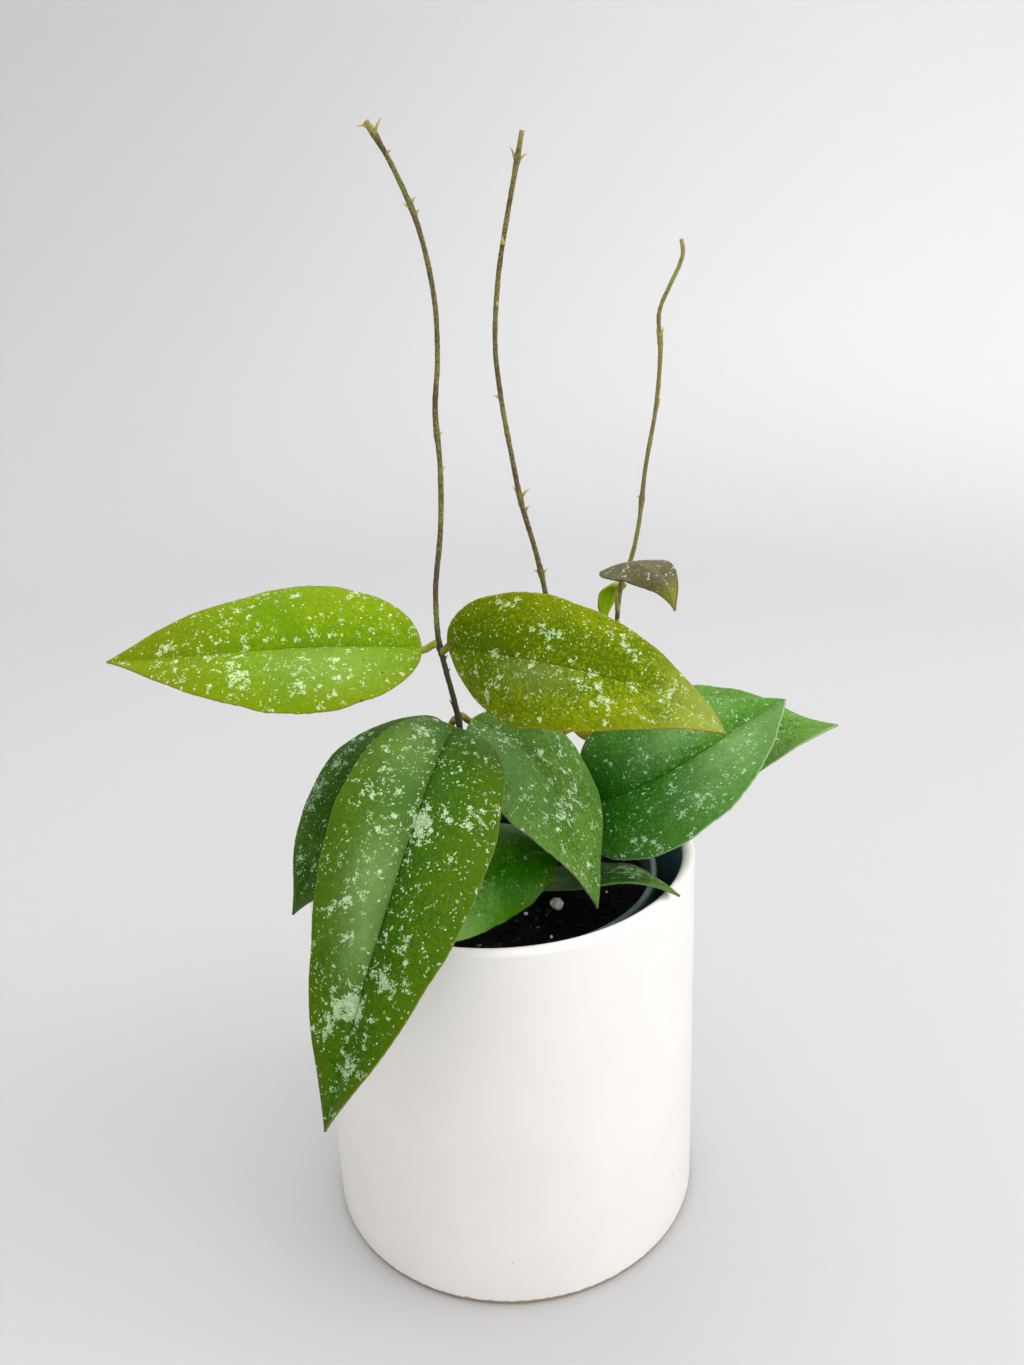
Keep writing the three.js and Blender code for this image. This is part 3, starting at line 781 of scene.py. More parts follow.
@dataclass(frozen=True)
class PlasticFinish:
    """Thin moulded grey-green plastic, with a painted highlight along the rim's top, broken up by noise."""

    body: Colour = (0.035, 0.07, 0.052)
    # Colour of the painted highlight along the rim's top.
    rim_highlight: Colour = (0.11, 0.17, 0.135)

    SCUFFS = (0.6, 5.0, 0.7)
    TOOLING = (3.0, 2.0)
    RIM_HIGHLIGHT_DEPTH = 2.5
    GLOSS_SPAN = (0.42, 0.62)

    def make(self, painter: Painter, name: str) -> Material:
        """Builds the nursery pot's material.

        Args:
            painter: Holds the shared groups.
            name: The material's name.

        Returns:
            The material.
        """
        made, graph, shader = painter.material(name)
        place = painter.place_mm(graph)
        height = graph.parts(place)[2]
        scuff = graph.noise(place, *self.SCUFFS)
        # Painted highlight on the rim's top, broken up by noise.
        high = graph.span(height, NURSERY_RIM_TOP - self.RIM_HIGHLIGHT_DEPTH, NURSERY_RIM_TOP)
        rim_highlight_share = graph.times(high, graph.span(scuff, 0.35, 0.6, 0.3, 1.0))
        graph.feed(shader.inputs["Base Color"], graph.mix(rim_highlight_share, self.body, self.rim_highlight))
        graph.feed(shader.inputs["Roughness"], graph.span(scuff, 0.3, 0.7, *self.GLOSS_SPAN))
        painter.bump(graph, shader, graph.noise(place, *self.TOOLING), 0.05, 0.5)
        return made


@dataclass(frozen=True)
class SoilFinish:
    """Crumbly potting mix. Each grain's tint runs from black peat through brown to ochre."""

    peat: Colour = (0.0015, 0.0018, 0.0016)
    bark: Colour = (0.008, 0.01, 0.008)
    ochre: Colour = (0.27, 0.2, 0.085)

    GRIT = (0.9, 6.0, 0.75)

    def make(self, painter: Painter, name: str) -> Material:
        """Builds the soil's material.

        Args:
            painter: Holds the shared groups.
            name: The material's name.

        Returns:
            The material.
        """
        made, graph, shader = painter.material(name, Roughness=0.9, Specular_IOR_Level=0.06)
        place = painter.place_mm(graph)
        grit = graph.noise(place, *self.GRIT)
        tint = graph.value_of(Field.TINT)
        skin = graph.mix(graph.span(grit, 0.4, 0.75), self.peat, self.bark)
        skin = graph.mix(graph.times(tint, graph.span(grit, 0.3, 0.6, 0.4, 1.0)), skin, self.ochre)
        graph.feed(shader.inputs["Base Color"], skin)
        painter.bump(graph, shader, grit, 0.6, 0.9)
        return made


@dataclass(frozen=True)
class GrainFinish:
    """Porous white volcanic grains, slightly soiled."""

    clean: Colour = (0.95, 0.93, 0.89)
    soiled: Colour = (0.5, 0.44, 0.36)

    STAINS = (0.8, 4.0, 0.65)
    PORES = (3.0, 3.0)

    def make(self, painter: Painter, name: str) -> Material:
        """Builds the grains' material.

        Args:
            painter: Holds the shared groups.
            name: The material's name.

        Returns:
            The material.
        """
        made, graph, shader = painter.material(name, Roughness=0.85)
        place = painter.place_mm(graph)
        stain = graph.noise(place, *self.STAINS)
        skin = graph.mix(graph.span(stain, 0.45, 0.75), self.clean, self.soiled)
        graph.feed(shader.inputs["Base Color"], skin)
        painter.bump(graph, shader, graph.noise(place, *self.PORES), 0.3, 0.8)
        return made


# Stems

@dataclass(frozen=True)
class StemScale:
    """A small pointed scale or bud on a stem.

    Args:
        height: Where it stands, in millimetres above the floor.
        heading: Which way it points, in degrees from +X about +Z.
        length: Its length in millimetres.
        width: Its width in millimetres.
        spread: How far it leans out of the stem, in degrees.
        tender: How young and yellow-green it is, from 0 to 1.
    """

    height: float
    heading: float
    length: float
    width: float = 1.4
    spread: float = 28.0
    tender: float = 0.8


class RouteCurve:
    """A smooth curve through given points, walked by its length.

    Args:
        route: The points in millimetres.
    """

    SAMPLES = 60

    def __init__(self, route: list[Triple]) -> None:
        """Walks the curve in short steps.

        Args:
            route: The points in millimetres.
        """
        points = np.array(route, float)
        ends = [2 * points[0] - points[1], *points, 2 * points[-1] - points[-2]]
        walked = [self.span(ends[i:i + 4]) for i in range(len(points) - 1)]
        self.points = np.vstack([*walked, points[-1:]])
        steps = np.linalg.norm(np.diff(self.points, axis=0), axis=1)
        self.lengths = np.concatenate([[0], np.cumsum(steps)])
        self.length = float(self.lengths[-1])

    @classmethod
    def span(cls, ends: list[np.ndarray]) -> np.ndarray:
        """The stretch between the second and third of four points.

        Args:
            ends: The four points.

        Returns:
            Points along the stretch.
        """
        before, start, end, after = ends
        gaps = [np.linalg.norm(b - a) ** 0.5 for a, b in ((before, start), (start, end), (end, after))]
        leave = (start - before) / gaps[0] - (end - before) / (gaps[0] + gaps[1]) + (end - start) / gaps[1]
        arrive = (end - start) / gaps[1] - (after - start) / (gaps[1] + gaps[2]) + (after - end) / gaps[2]
        leave, arrive = leave * gaps[1], arrive * gaps[1]
        t = np.linspace(0, 1, cls.SAMPLES, endpoint=False)[:, None]
        square = -3 * start + 3 * end - 2 * leave - arrive
        cube = 2 * start - 2 * end + leave + arrive
        return start + leave * t + square * t ** 2 + cube * t ** 3

    def at(self, length: np.ndarray | float) -> np.ndarray:
        """Places at given lengths along the curve."""
        return np.stack([np.interp(length, self.lengths, self.points[:, i]) for i in range(3)], axis=-1)

    def length_at_height(self, height: float) -> float:
        """How far along the curve a height is reached."""
        return float(np.interp(height, self.points[:, 2], self.lengths))


@dataclass
class Stem:
    """A climbing stem with knuckles, warty skin and scales.

    Args:
        node: The solid that it stands for.
        route: The points that it runs through, in millimetres.
        base_radius: Its radius at its buried foot.
        tip_radius: Its radius at its top.
        knuckles: The heights at which leaves or scales join it.
        scales: The scales and buds that it carries.
        finish: Its skin.
        seed: Where in the wart pattern it lies.
    """

    node: str
    route: list[Triple]
    base_radius: float
    tip_radius: float
    knuckles: list[float]
    scales: list[StemScale]
    finish: BarkFinish = BarkFinish()
    seed: int = 1

    SIDES = 20
    STEP = 0.55
    SWELL = 0.22
    REACH = 2.2
    WART = 0.13
    LUMP = 0.1
    YOUNG_END = 6.0
    YOUNG_SHARE = 0.35
    SCALE_SIDES = 12
    SCALE_SUNK = 0.5
    SCALE_THICK = 0.45

    def __post_init__(self) -> None:
        """Lays the stem's curve through its route."""
        self.curve = RouteCurve(self.route)

    def radius_at(self, length: np.ndarray) -> np.ndarray:
        """The stem's radius at lengths along it.

        Args:
            length: Lengths along the stem in millimetres.

        Returns:
            The radii.
        """
        share = length / self.curve.length
        height = self.curve.at(length)[..., 2]
        radius = self.base_radius + (self.tip_radius - self.base_radius) * share
        for knuckle in self.knuckles:
            radius = radius + self.SWELL * np.exp(-((height - knuckle) / self.REACH) ** 2)
        return radius

    def rings(self) -> tuple[np.ndarray, np.ndarray]:
        """The stem's rings and how tender each is.

        Returns:
            The rings, and a share from old to tender at each point.
        """
        lengths = np.linspace(0, self.curve.length, int(self.curve.length / self.STEP))
        centres = self.curve.at(lengths)
        tangents = np.gradient(centres, axis=0)
        tangents /= np.linalg.norm(tangents, axis=1, keepdims=True)
        angles = np.linspace(0, math.tau, self.SIDES, endpoint=False)
        radii = self.radius_at(lengths)
        end = self.curve.length
        tender = smooth_step(end - self.YOUNG_END, end, lengths) * self.YOUNG_SHARE
        side = np.array([1.0, 0.0, 0.0])
        rings = []
        for centre, tangent, radius in zip(centres, tangents, radii):
            side = side - tangent * side.dot(tangent)
            side /= np.linalg.norm(side)
            up = np.cross(tangent, side)
            around = np.cos(angles)[:, None] * side + np.sin(angles)[:, None] * up
            warts = [noise.noise(Vector(centre * 1.1 + way * 1.4 + self.seed * 17)) for way in around]
            lump = noise.noise(Vector(centre * 0.28 + self.seed * 5))
            swell = 1 + self.WART * np.array(warts) + self.LUMP * lump
            rings.append(centre + around * (radius * swell)[:, None])
        return np.array(rings), np.repeat(tender[:, None], self.SIDES, axis=1)

    def add_scale(self, draft: MeshDraft, scale: StemScale) -> None:
        """Adds one cupped scale that rises from the stem and leans out.

        Args:
            draft: The mesh that it is added to.
            scale: The scale to add.
        """
        root = self.curve.at(self.curve.length_at_height(scale.height))
        heading, spread = math.radians(scale.heading), math.radians(scale.spread)
        out = np.array([math.cos(heading), math.sin(heading), 0.0])
        side = np.array([-out[1], out[0], 0.0])
        angles = np.linspace(0, math.tau, self.SCALE_SIDES, endpoint=False)
        shares = np.linspace(0, 1, self.SCALE_SIDES)
        rings = []
        for share in shares:
            lean = spread * (0.5 + 0.8 * share)
            along = out * math.sin(lean) + np.array([0, 0, math.cos(lean)])
            centre = root + out * self.SCALE_SUNK + along * scale.length * share
            taper = (1 - share ** 1.5) ** 0.7
            width = scale.width / 2 * max(0.1, taper * (0.7 + 0.5 * share))
            thick = max(0.08, self.SCALE_THICK * taper)
            broad = np.outer(np.cos(angles) * width, side)
            rings.append(centre + broad + np.outer(np.sin(angles) * thick, np.cross(side, along)))
        rings = np.array(rings)[:, ::-1]
        young = np.full(rings.shape[:2], scale.tender) * np.linspace(0.4, 1, self.SCALE_SIDES)[:, None]
        draft.add_loft(rings, {Field.TENDER: young})

    def build(self, painter: Painter) -> None:
        """Makes the stem's piece.

        Args:
            painter: Holds the shared groups.
        """
        draft = MeshDraft(f"{self.node}_bark")
        rings, tender = self.rings()
        draft.add_loft(rings, {Field.TENDER: tender})
        for scale in self.scales:
            self.add_scale(draft, scale)
        draft.build(self.finish.make(painter, f"{self.node}_skin"), Slot.VINE, self.node)


# Leaves

def bend(values: Triple, share: np.ndarray) -> np.ndarray:
    """The parabola through a value at the base, the middle and the tip."""
    base, middle, tip = values
    return base + (4 * middle - 3 * base - tip) * share + 2 * (base + tip - 2 * middle) * share ** 2


@dataclass
class Leaf:
    """A leaf with its stalk.

    Args:
        node: The solid that it stands for.
        stem: The name of the stem that it grows from.
        join: The height at which its stalk meets the stem.
        base: Where the blade starts, in millimetres.
        length: The blade's length along its midrib.
        width: The blade's greatest width.
        heading: Its way in degrees from +X about +Z, at the base, middle and tip.
        pitch: Its rise above the level in degrees, at the base, middle and tip.
        roll: How far its right-hand side tips down in degrees, at the base, middle and tip.
        fold: How far both halves lift beside the midrib, in degrees.
        curl: How far each half bends down again towards its margin, in degrees.
        wave: The height of the margin's ripples in millimetres.
        slot: The record's slot.
        finish: Its colours and marks.
        patches: Dense splashes, each (share of the length, place across, reach in mm, strength).
        blooms: Painted sheen beside the midrib, with painted shade on the midrib's other side; the same
            four numbers each.
        shape: How far out the blade is widest.
        groove: How deep the midrib lies in the upper face, in millimetres.
        stalk_radius: The stalk's radius in millimetres.
        stalk_bend: How far the stalk keeps its way at each end, as a share of its length.
    """

    node: str
    stem: str
    join: float
    base: Triple
    length: float
    width: float
    heading: Triple
    pitch: Triple
    roll: Triple
    fold: float
    curl: float
    wave: float
    slot: Slot
    finish: LeafFinish
    patches: list[Patch] = field(default_factory=list)
    blooms: list[Patch] = field(default_factory=list)
    shape: float = 0.57
    groove: float = 0.3
    stalk_radius: float = 1.1
    stalk_bend: float = 0.4

    TIP_HALF_WIDTH = 0.35
    THICKNESS = 1.4
    EDGE = 0.55
    WAVES = 2.5
    SIDE_VEINS = 7.5
    ROWS = 120
    HALF_COLUMNS = 22
    STALK_ROWS = 16
    FINE_STEPS = 401
    VEIN_SWEEP = 0.17
    QUILT = 0.1
    KEEL = 0.45
    KEEL_REACH = 1.1
    GROOVE_REACH = 0.8
    EDGE_ROUND = 0.015
    PAINTED_LIGHT_STRETCH = 2.2
    STALK_FOOT = 0.25
    STALK_SUNK = 0.5
    PATTERN_PLACES = 97
    NICKS = (0.008, 0.006, 0.004, 0.003)

    def frames(self, share: np.ndarray) -> tuple[np.ndarray, np.ndarray, np.ndarray]:
        """Unit vectors along the midrib, up out of the upper face and to the right-hand side.

        Args:
            share: Shares of the blade's length.

        Returns:
            The three vectors at each share.
        """
        turns = (self.heading, self.pitch, self.roll)
        heading, pitch, roll = (np.radians(bend(turn, share)) for turn in turns)
        flat = np.cos(pitch)
        forward = np.stack([flat * np.cos(heading), flat * np.sin(heading), np.sin(pitch)], -1)
        plain_up = np.stack([-np.sin(pitch) * np.cos(heading), -np.sin(pitch) * np.sin(heading), flat], -1)
        plain_side = np.stack([np.sin(heading), -np.cos(heading), 0 * heading], -1)
        cos, sin = np.cos(roll)[:, None], np.sin(roll)[:, None]
        return forward, plain_up * cos + plain_side * sin, plain_side * cos - plain_up * sin

    def midrib(self, share: np.ndarray) -> np.ndarray:
        """Places on the midrib.

        Args:
            share: Shares of the blade's length.

        Returns:
            The place at each share.
        """
        fine = np.linspace(0, 1, self.FINE_STEPS)
        centres = (fine[1:] + fine[:-1]) / 2
        steps = self.frames(centres)[0] * self.length / len(centres)
        walked = np.array(self.base) + np.vstack([np.zeros(3), np.cumsum(steps, axis=0)])
        return np.stack([np.interp(share, fine, walked[:, i]) for i in range(3)], -1)

    def half_width(self, share: np.ndarray) -> np.ndarray:
        """Half the blade's width, with a faintly uneven margin.

        Args:
            share: Shares of the blade's length.

        Returns:
            The half width at each share.
        """
        widest = self.shape / (self.shape + 1)
        full = widest ** self.shape * (1 - widest)
        blade = self.width / 2 * share ** self.shape * (1 - share) / full
        turns = (31 * share + self.length, 53 * share + self.width,
                 self.length * 2.1 * share, self.length * 3.7 * share + 1)
        uneven = 1 + sum(nick * np.sin(turn) for nick, turn in zip(self.NICKS, turns))
        ends = (self.stalk_radius * (1 - share)) ** 2 + (self.TIP_HALF_WIDTH * share) ** 2
        return np.sqrt((blade * uneven) ** 2 + ends)

    def vein_phase(self, share: np.ndarray, across: np.ndarray) -> np.ndarray:
        """Counts the side veins: each runs from the midrib out and on towards the tip."""
        swept = share - self.VEIN_SWEEP * np.abs(across) ** 1.3
        return swept * self.SIDE_VEINS + np.where(across > 0, 0.4, 0.0) + 3.0

    def ring_set(self, centres: np.ndarray, ups: np.ndarray, sides: np.ndarray, half: np.ndarray,
                 thick: np.ndarray, share: np.ndarray, blade: np.ndarray) -> tuple[np.ndarray, dict]:
        """Rings round the blade or stalk, with their shader values.

        Args:
            centres: Each ring's place on the midrib.
            ups: Each ring's up.
            sides: Each ring's right-hand side.
            half: Each ring's half width.
            thick: Each ring's thickness at the middle.
            share: Each ring's share of the blade's length.
            blade: 1 on the blade and 0 on the stalk.

        Returns:
            The rings and the values by field.
        """
        outward = (1 - np.cos(np.linspace(0, math.pi, self.HALF_COLUMNS + 1))) / 2
        across = np.concatenate([-outward[:0:-1], outward])[None, :]
        half, thick, share, blade = half[:, None], thick[:, None], share[:, None], blade[:, None]
        fold, turn = math.radians(self.fold), math.radians(self.curl) / (self.width / 2)
        reach = np.abs(across) * half
        slope = fold - turn * reach
        out = np.sign(across) * (math.sin(fold) - np.sin(slope)) / turn
        ripple = self.wave * across ** 2 * np.sin(math.tau * (self.WAVES * share + 0.3 * across))
        rise = (np.cos(slope) - math.cos(fold)) / turn + ripple * np.minimum(1, half / 8)
        phase = self.vein_phase(share, across)
        inner = np.clip(1 - np.abs(across) ** 4, 0, 1) * np.minimum(1, half / 10) * blade
        quilt = self.QUILT * np.cos(math.tau * phase) * inner * np.minimum(1, reach / 3)
        lean = -np.sign(across) * np.sin(slope)
        normal = sides[:, None] * lean[..., None] + ups[:, None] * np.sqrt(1 - lean ** 2)[..., None]
        middle = centres[:, None] + sides[:, None] * out[..., None]
        middle = middle + ups[:, None] * (rise + quilt)[..., None]
        depth = self.EDGE + (thick - self.EDGE) * (1 - across ** 2)
        outermost = (np.abs(across) - (1 - self.EDGE_ROUND)) / self.EDGE_ROUND
        round_edge = np.sqrt(np.clip(1 - outermost.clip(0, 1) ** 2, 0.08, 1))
        open_blade = blade * np.minimum(1, half / 6)
        groove = self.groove * np.exp(-(reach / self.GROOVE_REACH) ** 2) * open_blade
        keel = self.KEEL * np.exp(-(reach / self.KEEL_REACH) ** 2) * open_blade
        upper = middle + normal * (depth / 2 * round_edge - groove)[..., None]
        lower = middle - normal * (depth / 2 * round_edge + keel)[..., None]
        rings = np.concatenate([upper, lower[:, ::-1]], axis=1)
        ones = np.ones_like(reach)
        along, wide = share * self.length * ones, np.sign(across) * reach
        place_up, place_low = (np.stack([along, wide, face * ones], -1) for face in (1, -1))
        plan = np.stack([share * ones, across * ones, phase], -1)
        splash = 1 + self.patched(self.patches, along, wide)
        # Painted sheen by place on the blade, with painted shade on the midrib's other side.
        bloom = self.patched(self.blooms, along, wide, signed=True)
        both = {
            Field.PLACE: (place_up, place_low),
            Field.PLAN: (plan, plan),
            Field.SPLASH: (splash, splash),
            Field.BLOOM: (bloom, np.zeros_like(bloom)),
            Field.STALK: (1 - blade * ones,) * 2,
        }
        values = {name: np.concatenate([up, low[:, ::-1]], axis=1) for name, (up, low) in both.items()}
        return rings, values

    def patched(self, patches: list[Patch], along: np.ndarray, wide: np.ndarray,
                signed: bool = False) -> np.ndarray:
        """Sums soft round patches over the blade.

        Args:
            patches: Each (share of the length, place across, reach in mm, strength).
            along: Places along the midrib in millimetres.
            wide: Places across in millimetres.
            signed: Whether a patch counts below zero where its place across is.

        Returns:
            The summed strength at each place.
        """
        total = np.zeros_like(along)
        for share, across, reach, strength in patches:
            half = float(self.half_width(np.array([share]))[0])
            stretch = self.PAINTED_LIGHT_STRETCH if signed else 1
            distance = ((along - share * self.length) / stretch) ** 2 + (wide - across * half) ** 2
            sign = math.copysign(1, across) if signed else 1
            total += sign * strength * np.exp(-distance / reach ** 2)
        return total

    def blade_set(self) -> tuple[np.ndarray, dict]:
        """The blade's rings.

        Returns:
            The rings and the values by field.
        """
        share = (1 - np.cos(np.pi * np.linspace(0, 1, self.ROWS))) / 2
        _, ups, sides = self.frames(share)
        stalk = 2 * self.stalk_radius * np.clip(1 - 6 * share, 0, 1)
        thick = np.hypot(self.THICKNESS, stalk) * (1 - 0.4 * share ** 3)
        blade = smooth_step(0.0, 0.02, share)
        return self.ring_set(self.midrib(share), ups, sides, self.half_width(share), thick, share, blade)

    def stalk_set(self, stem: Stem) -> tuple[np.ndarray, dict]:
        """The stalk's rings, from inside the stem's skin to the blade.

        Args:
            stem: The stem that it grows from.

        Returns:
            The rings and the values by field.
        """
        centre = stem.curve.at(stem.curve.length_at_height(self.join))
        base = np.array(self.base)
        outward = (base - centre) * np.array([1, 1, 0])
        outward /= np.linalg.norm(outward)
        start = centre + outward * self.STALK_SUNK
        forward, ups, _ = (axis[0] for axis in self.frames(np.array([0.0])))
        length = np.linalg.norm(base - start)
        handle = length * self.stalk_bend
        controls = [start, start + outward * handle, base - forward * handle, base]
        t = np.linspace(0, 1, self.STALK_ROWS, endpoint=False)
        weights = np.stack([(1 - t) ** 3, 3 * t * (1 - t) ** 2, 3 * t ** 2 * (1 - t), t ** 3], -1)
        centres = weights @ np.array(controls)
        tangents = np.gradient(np.vstack([centres, base]), axis=0)[:-1]
        tangents /= np.linalg.norm(tangents, axis=1, keepdims=True)
        ups = ups - tangents * (tangents @ ups)[:, None]
        ups /= np.linalg.norm(ups, axis=1, keepdims=True)
        half = self.stalk_radius * (1 + self.STALK_FOOT * np.exp(-((t - 0.05) / 0.12) ** 2))
        zero = np.zeros_like(t)
        return self.ring_set(centres, ups, np.cross(tangents, ups), half, 2 * half, zero, zero)

    def build(self, painter: Painter, stem: Stem) -> None:
        """Makes the leaf's piece.

        Args:
            painter: Holds the shared groups.
            stem: The stem that it grows from.
        """
        stalk_rings, stalk_values = self.stalk_set(stem)
        rings, values = self.blade_set()
        draft = MeshDraft(f"{self.node}_blade")
        joined = {name: np.concatenate([stalk_values[name], values[name]]) for name in values}
        draft.add_loft(np.concatenate([stalk_rings, rings]), joined)
        shift = float(sum(map(ord, self.node)) % self.PATTERN_PLACES)
        draft.build(self.finish.make(painter, f"{self.node}_skin", shift), self.slot, self.node)


# Pots and soil

COVER_RADIUS = 63.5
COVER_HEIGHT = 132.0
COVER_WALL = 4.0
COVER_FLOOR = 6.0
NURSERY_RIM_RADIUS = 51.3
NURSERY_RIM_TOP = 124.0
NURSERY_RIM_DEPTH = 9.0
NURSERY_RIM_WIDTH = 2.2
NURSERY_FOOT_RADIUS = 38.0
NURSERY_FOOT = 6.3
NURSERY_WALL = 1.4
SOIL_LEVEL = 116.0
SOIL_BUMP = 0.9
AXIS = 0.5


@dataclass
class CoverPot:
    """The round glazed pot, with a full round lip and a softly uneven wall."""

    SIDES = 240
    FOOT_EDGE = 2.0
    FOOT_MIDDLE = 30.0
    CORNER = 5.0
    LIP_DROP = 8.0
    THROWN = 0.06
    OVAL = 0.08

    def profile(self) -> Profile:
        """The pot's turned outline, from the foot's middle over the lip to the floor's middle.

        Returns:
            The outline's points.
        """
        lip, inside, top = COVER_WALL / 2, COVER_RADIUS - COVER_WALL, COVER_HEIGHT - self.LIP_DROP
        return [
            (AXIS, 0.0), (self.FOOT_MIDDLE, 0.0),
            *arc((COVER_RADIUS - self.FOOT_EDGE, self.FOOT_EDGE), self.FOOT_EDGE, -90, 0, 8),
            *[(COVER_RADIUS, height) for height in np.linspace(6, top, 24)],
            *arc((COVER_RADIUS - lip, COVER_HEIGHT - lip), lip, 0, 180, 20),
            *[(inside, height) for height in np.linspace(top, 20, 12)],
            *arc((inside - self.CORNER, COVER_FLOOR + self.CORNER), self.CORNER, 0, -90, 8),
            (self.FOOT_MIDDLE, COVER_FLOOR), (AXIS, COVER_FLOOR),
        ]

    def build(self, material: Material) -> None:
        """Makes the cover pot's piece.

        Args:
            material: The finish of the whole piece.
        """
        rings = turned_rings(self.profile(), self.SIDES)
        angles = np.arctan2(rings[..., 1], rings[..., 0])
        height = rings[..., 2]
        throwing = self.THROWN * np.sin(height / 7) + self.OVAL * np.sin(2 * angles + height / 60)
        shrink = 1 - (self.THROWN + self.OVAL - throwing) / COVER_RADIUS
        rings[..., :2] *= shrink[..., None]
        draft = MeshDraft("cover_pot_glazed")
        draft.add_loft(rings)
        draft.build(material, Slot.COVER, "cover_pot")


@dataclass
class NurseryPot:
    """The thin growing pot, with a rolled rim and drain holes in its floor."""

    SIDES = 200
    DRAIN_HOLES = 5
    DRAIN_RADIUS = 4.0
    DRAIN_CIRCLE = 24.0

    def profile(self) -> Profile:
        """The pot's turned outline.

        Returns:
            The outline's points.
        """
        inner = NURSERY_RIM_RADIUS - NURSERY_RIM_WIDTH
        shoulder = NURSERY_RIM_TOP - NURSERY_RIM_DEPTH
        roll = NURSERY_RIM_WIDTH / 2
        floor, foot = NURSERY_FOOT + NURSERY_WALL, NURSERY_FOOT_RADIUS - NURSERY_WALL
        return [
            (AXIS, NURSERY_FOOT), (NURSERY_FOOT_RADIUS - 1, NURSERY_FOOT),
            (NURSERY_FOOT_RADIUS, NURSERY_FOOT + 1),
            (inner + NURSERY_WALL - 0.2, shoulder - 2), (inner + NURSERY_WALL, shoulder - 1),
            (NURSERY_RIM_RADIUS - 0.3, shoulder), (NURSERY_RIM_RADIUS, shoulder + 0.5),
            *arc((NURSERY_RIM_RADIUS - roll, NURSERY_RIM_TOP - roll), roll, 0, 180, 12),
            (inner, shoulder - 1), (inner - 0.2, shoulder - 2),
            (foot, floor + 1), (foot - 1, floor), (AXIS, floor),
        ]

    def drill(self) -> bpy.types.Object:
        """A cutter with one rod for each drain hole.

        Returns:
            The cutter.
        """
        draft = MeshDraft("drain_cutter")
        circle = np.linspace(0, math.tau, 24, endpoint=False)
        for i in range(self.DRAIN_HOLES):
            angle = math.tau * i / self.DRAIN_HOLES
            x = self.DRAIN_CIRCLE * math.cos(angle) + self.DRAIN_RADIUS * np.cos(circle)
            y = self.DRAIN_CIRCLE * math.sin(angle) + self.DRAIN_RADIUS * np.sin(circle)
            levels = (NURSERY_FOOT - 3, NURSERY_FOOT + NURSERY_WALL + 3)
            draft.add_loft(np.array([np.stack([x, y, 0 * x + level], -1) for level in levels]))
        return draft.plain()

    def build(self, material: Material) -> None:
        """Makes the nursery pot's piece.

        Args:
            material: The finish of the whole piece.
        """
        draft = MeshDraft("nursery_pot_moulded")
        draft.add_loft(turned_rings(self.profile(), self.SIDES))
        pot = draft.build(material, Slot.NURSERY, "nursery_pot")
        cutter = self.drill()
        cut = pot.modifiers.new("drain holes", "BOOLEAN")
        cut.operation = "DIFFERENCE"
        cut.object = cutter
        bpy.context.view_layer.update()
        graph = bpy.context.evaluated_depsgraph_get()
        holed = bpy.data.meshes.new_from_object(pot.evaluated_get(graph))
        pot.modifiers.clear()
        pot.data = holed
        bpy.data.objects.remove(cutter)


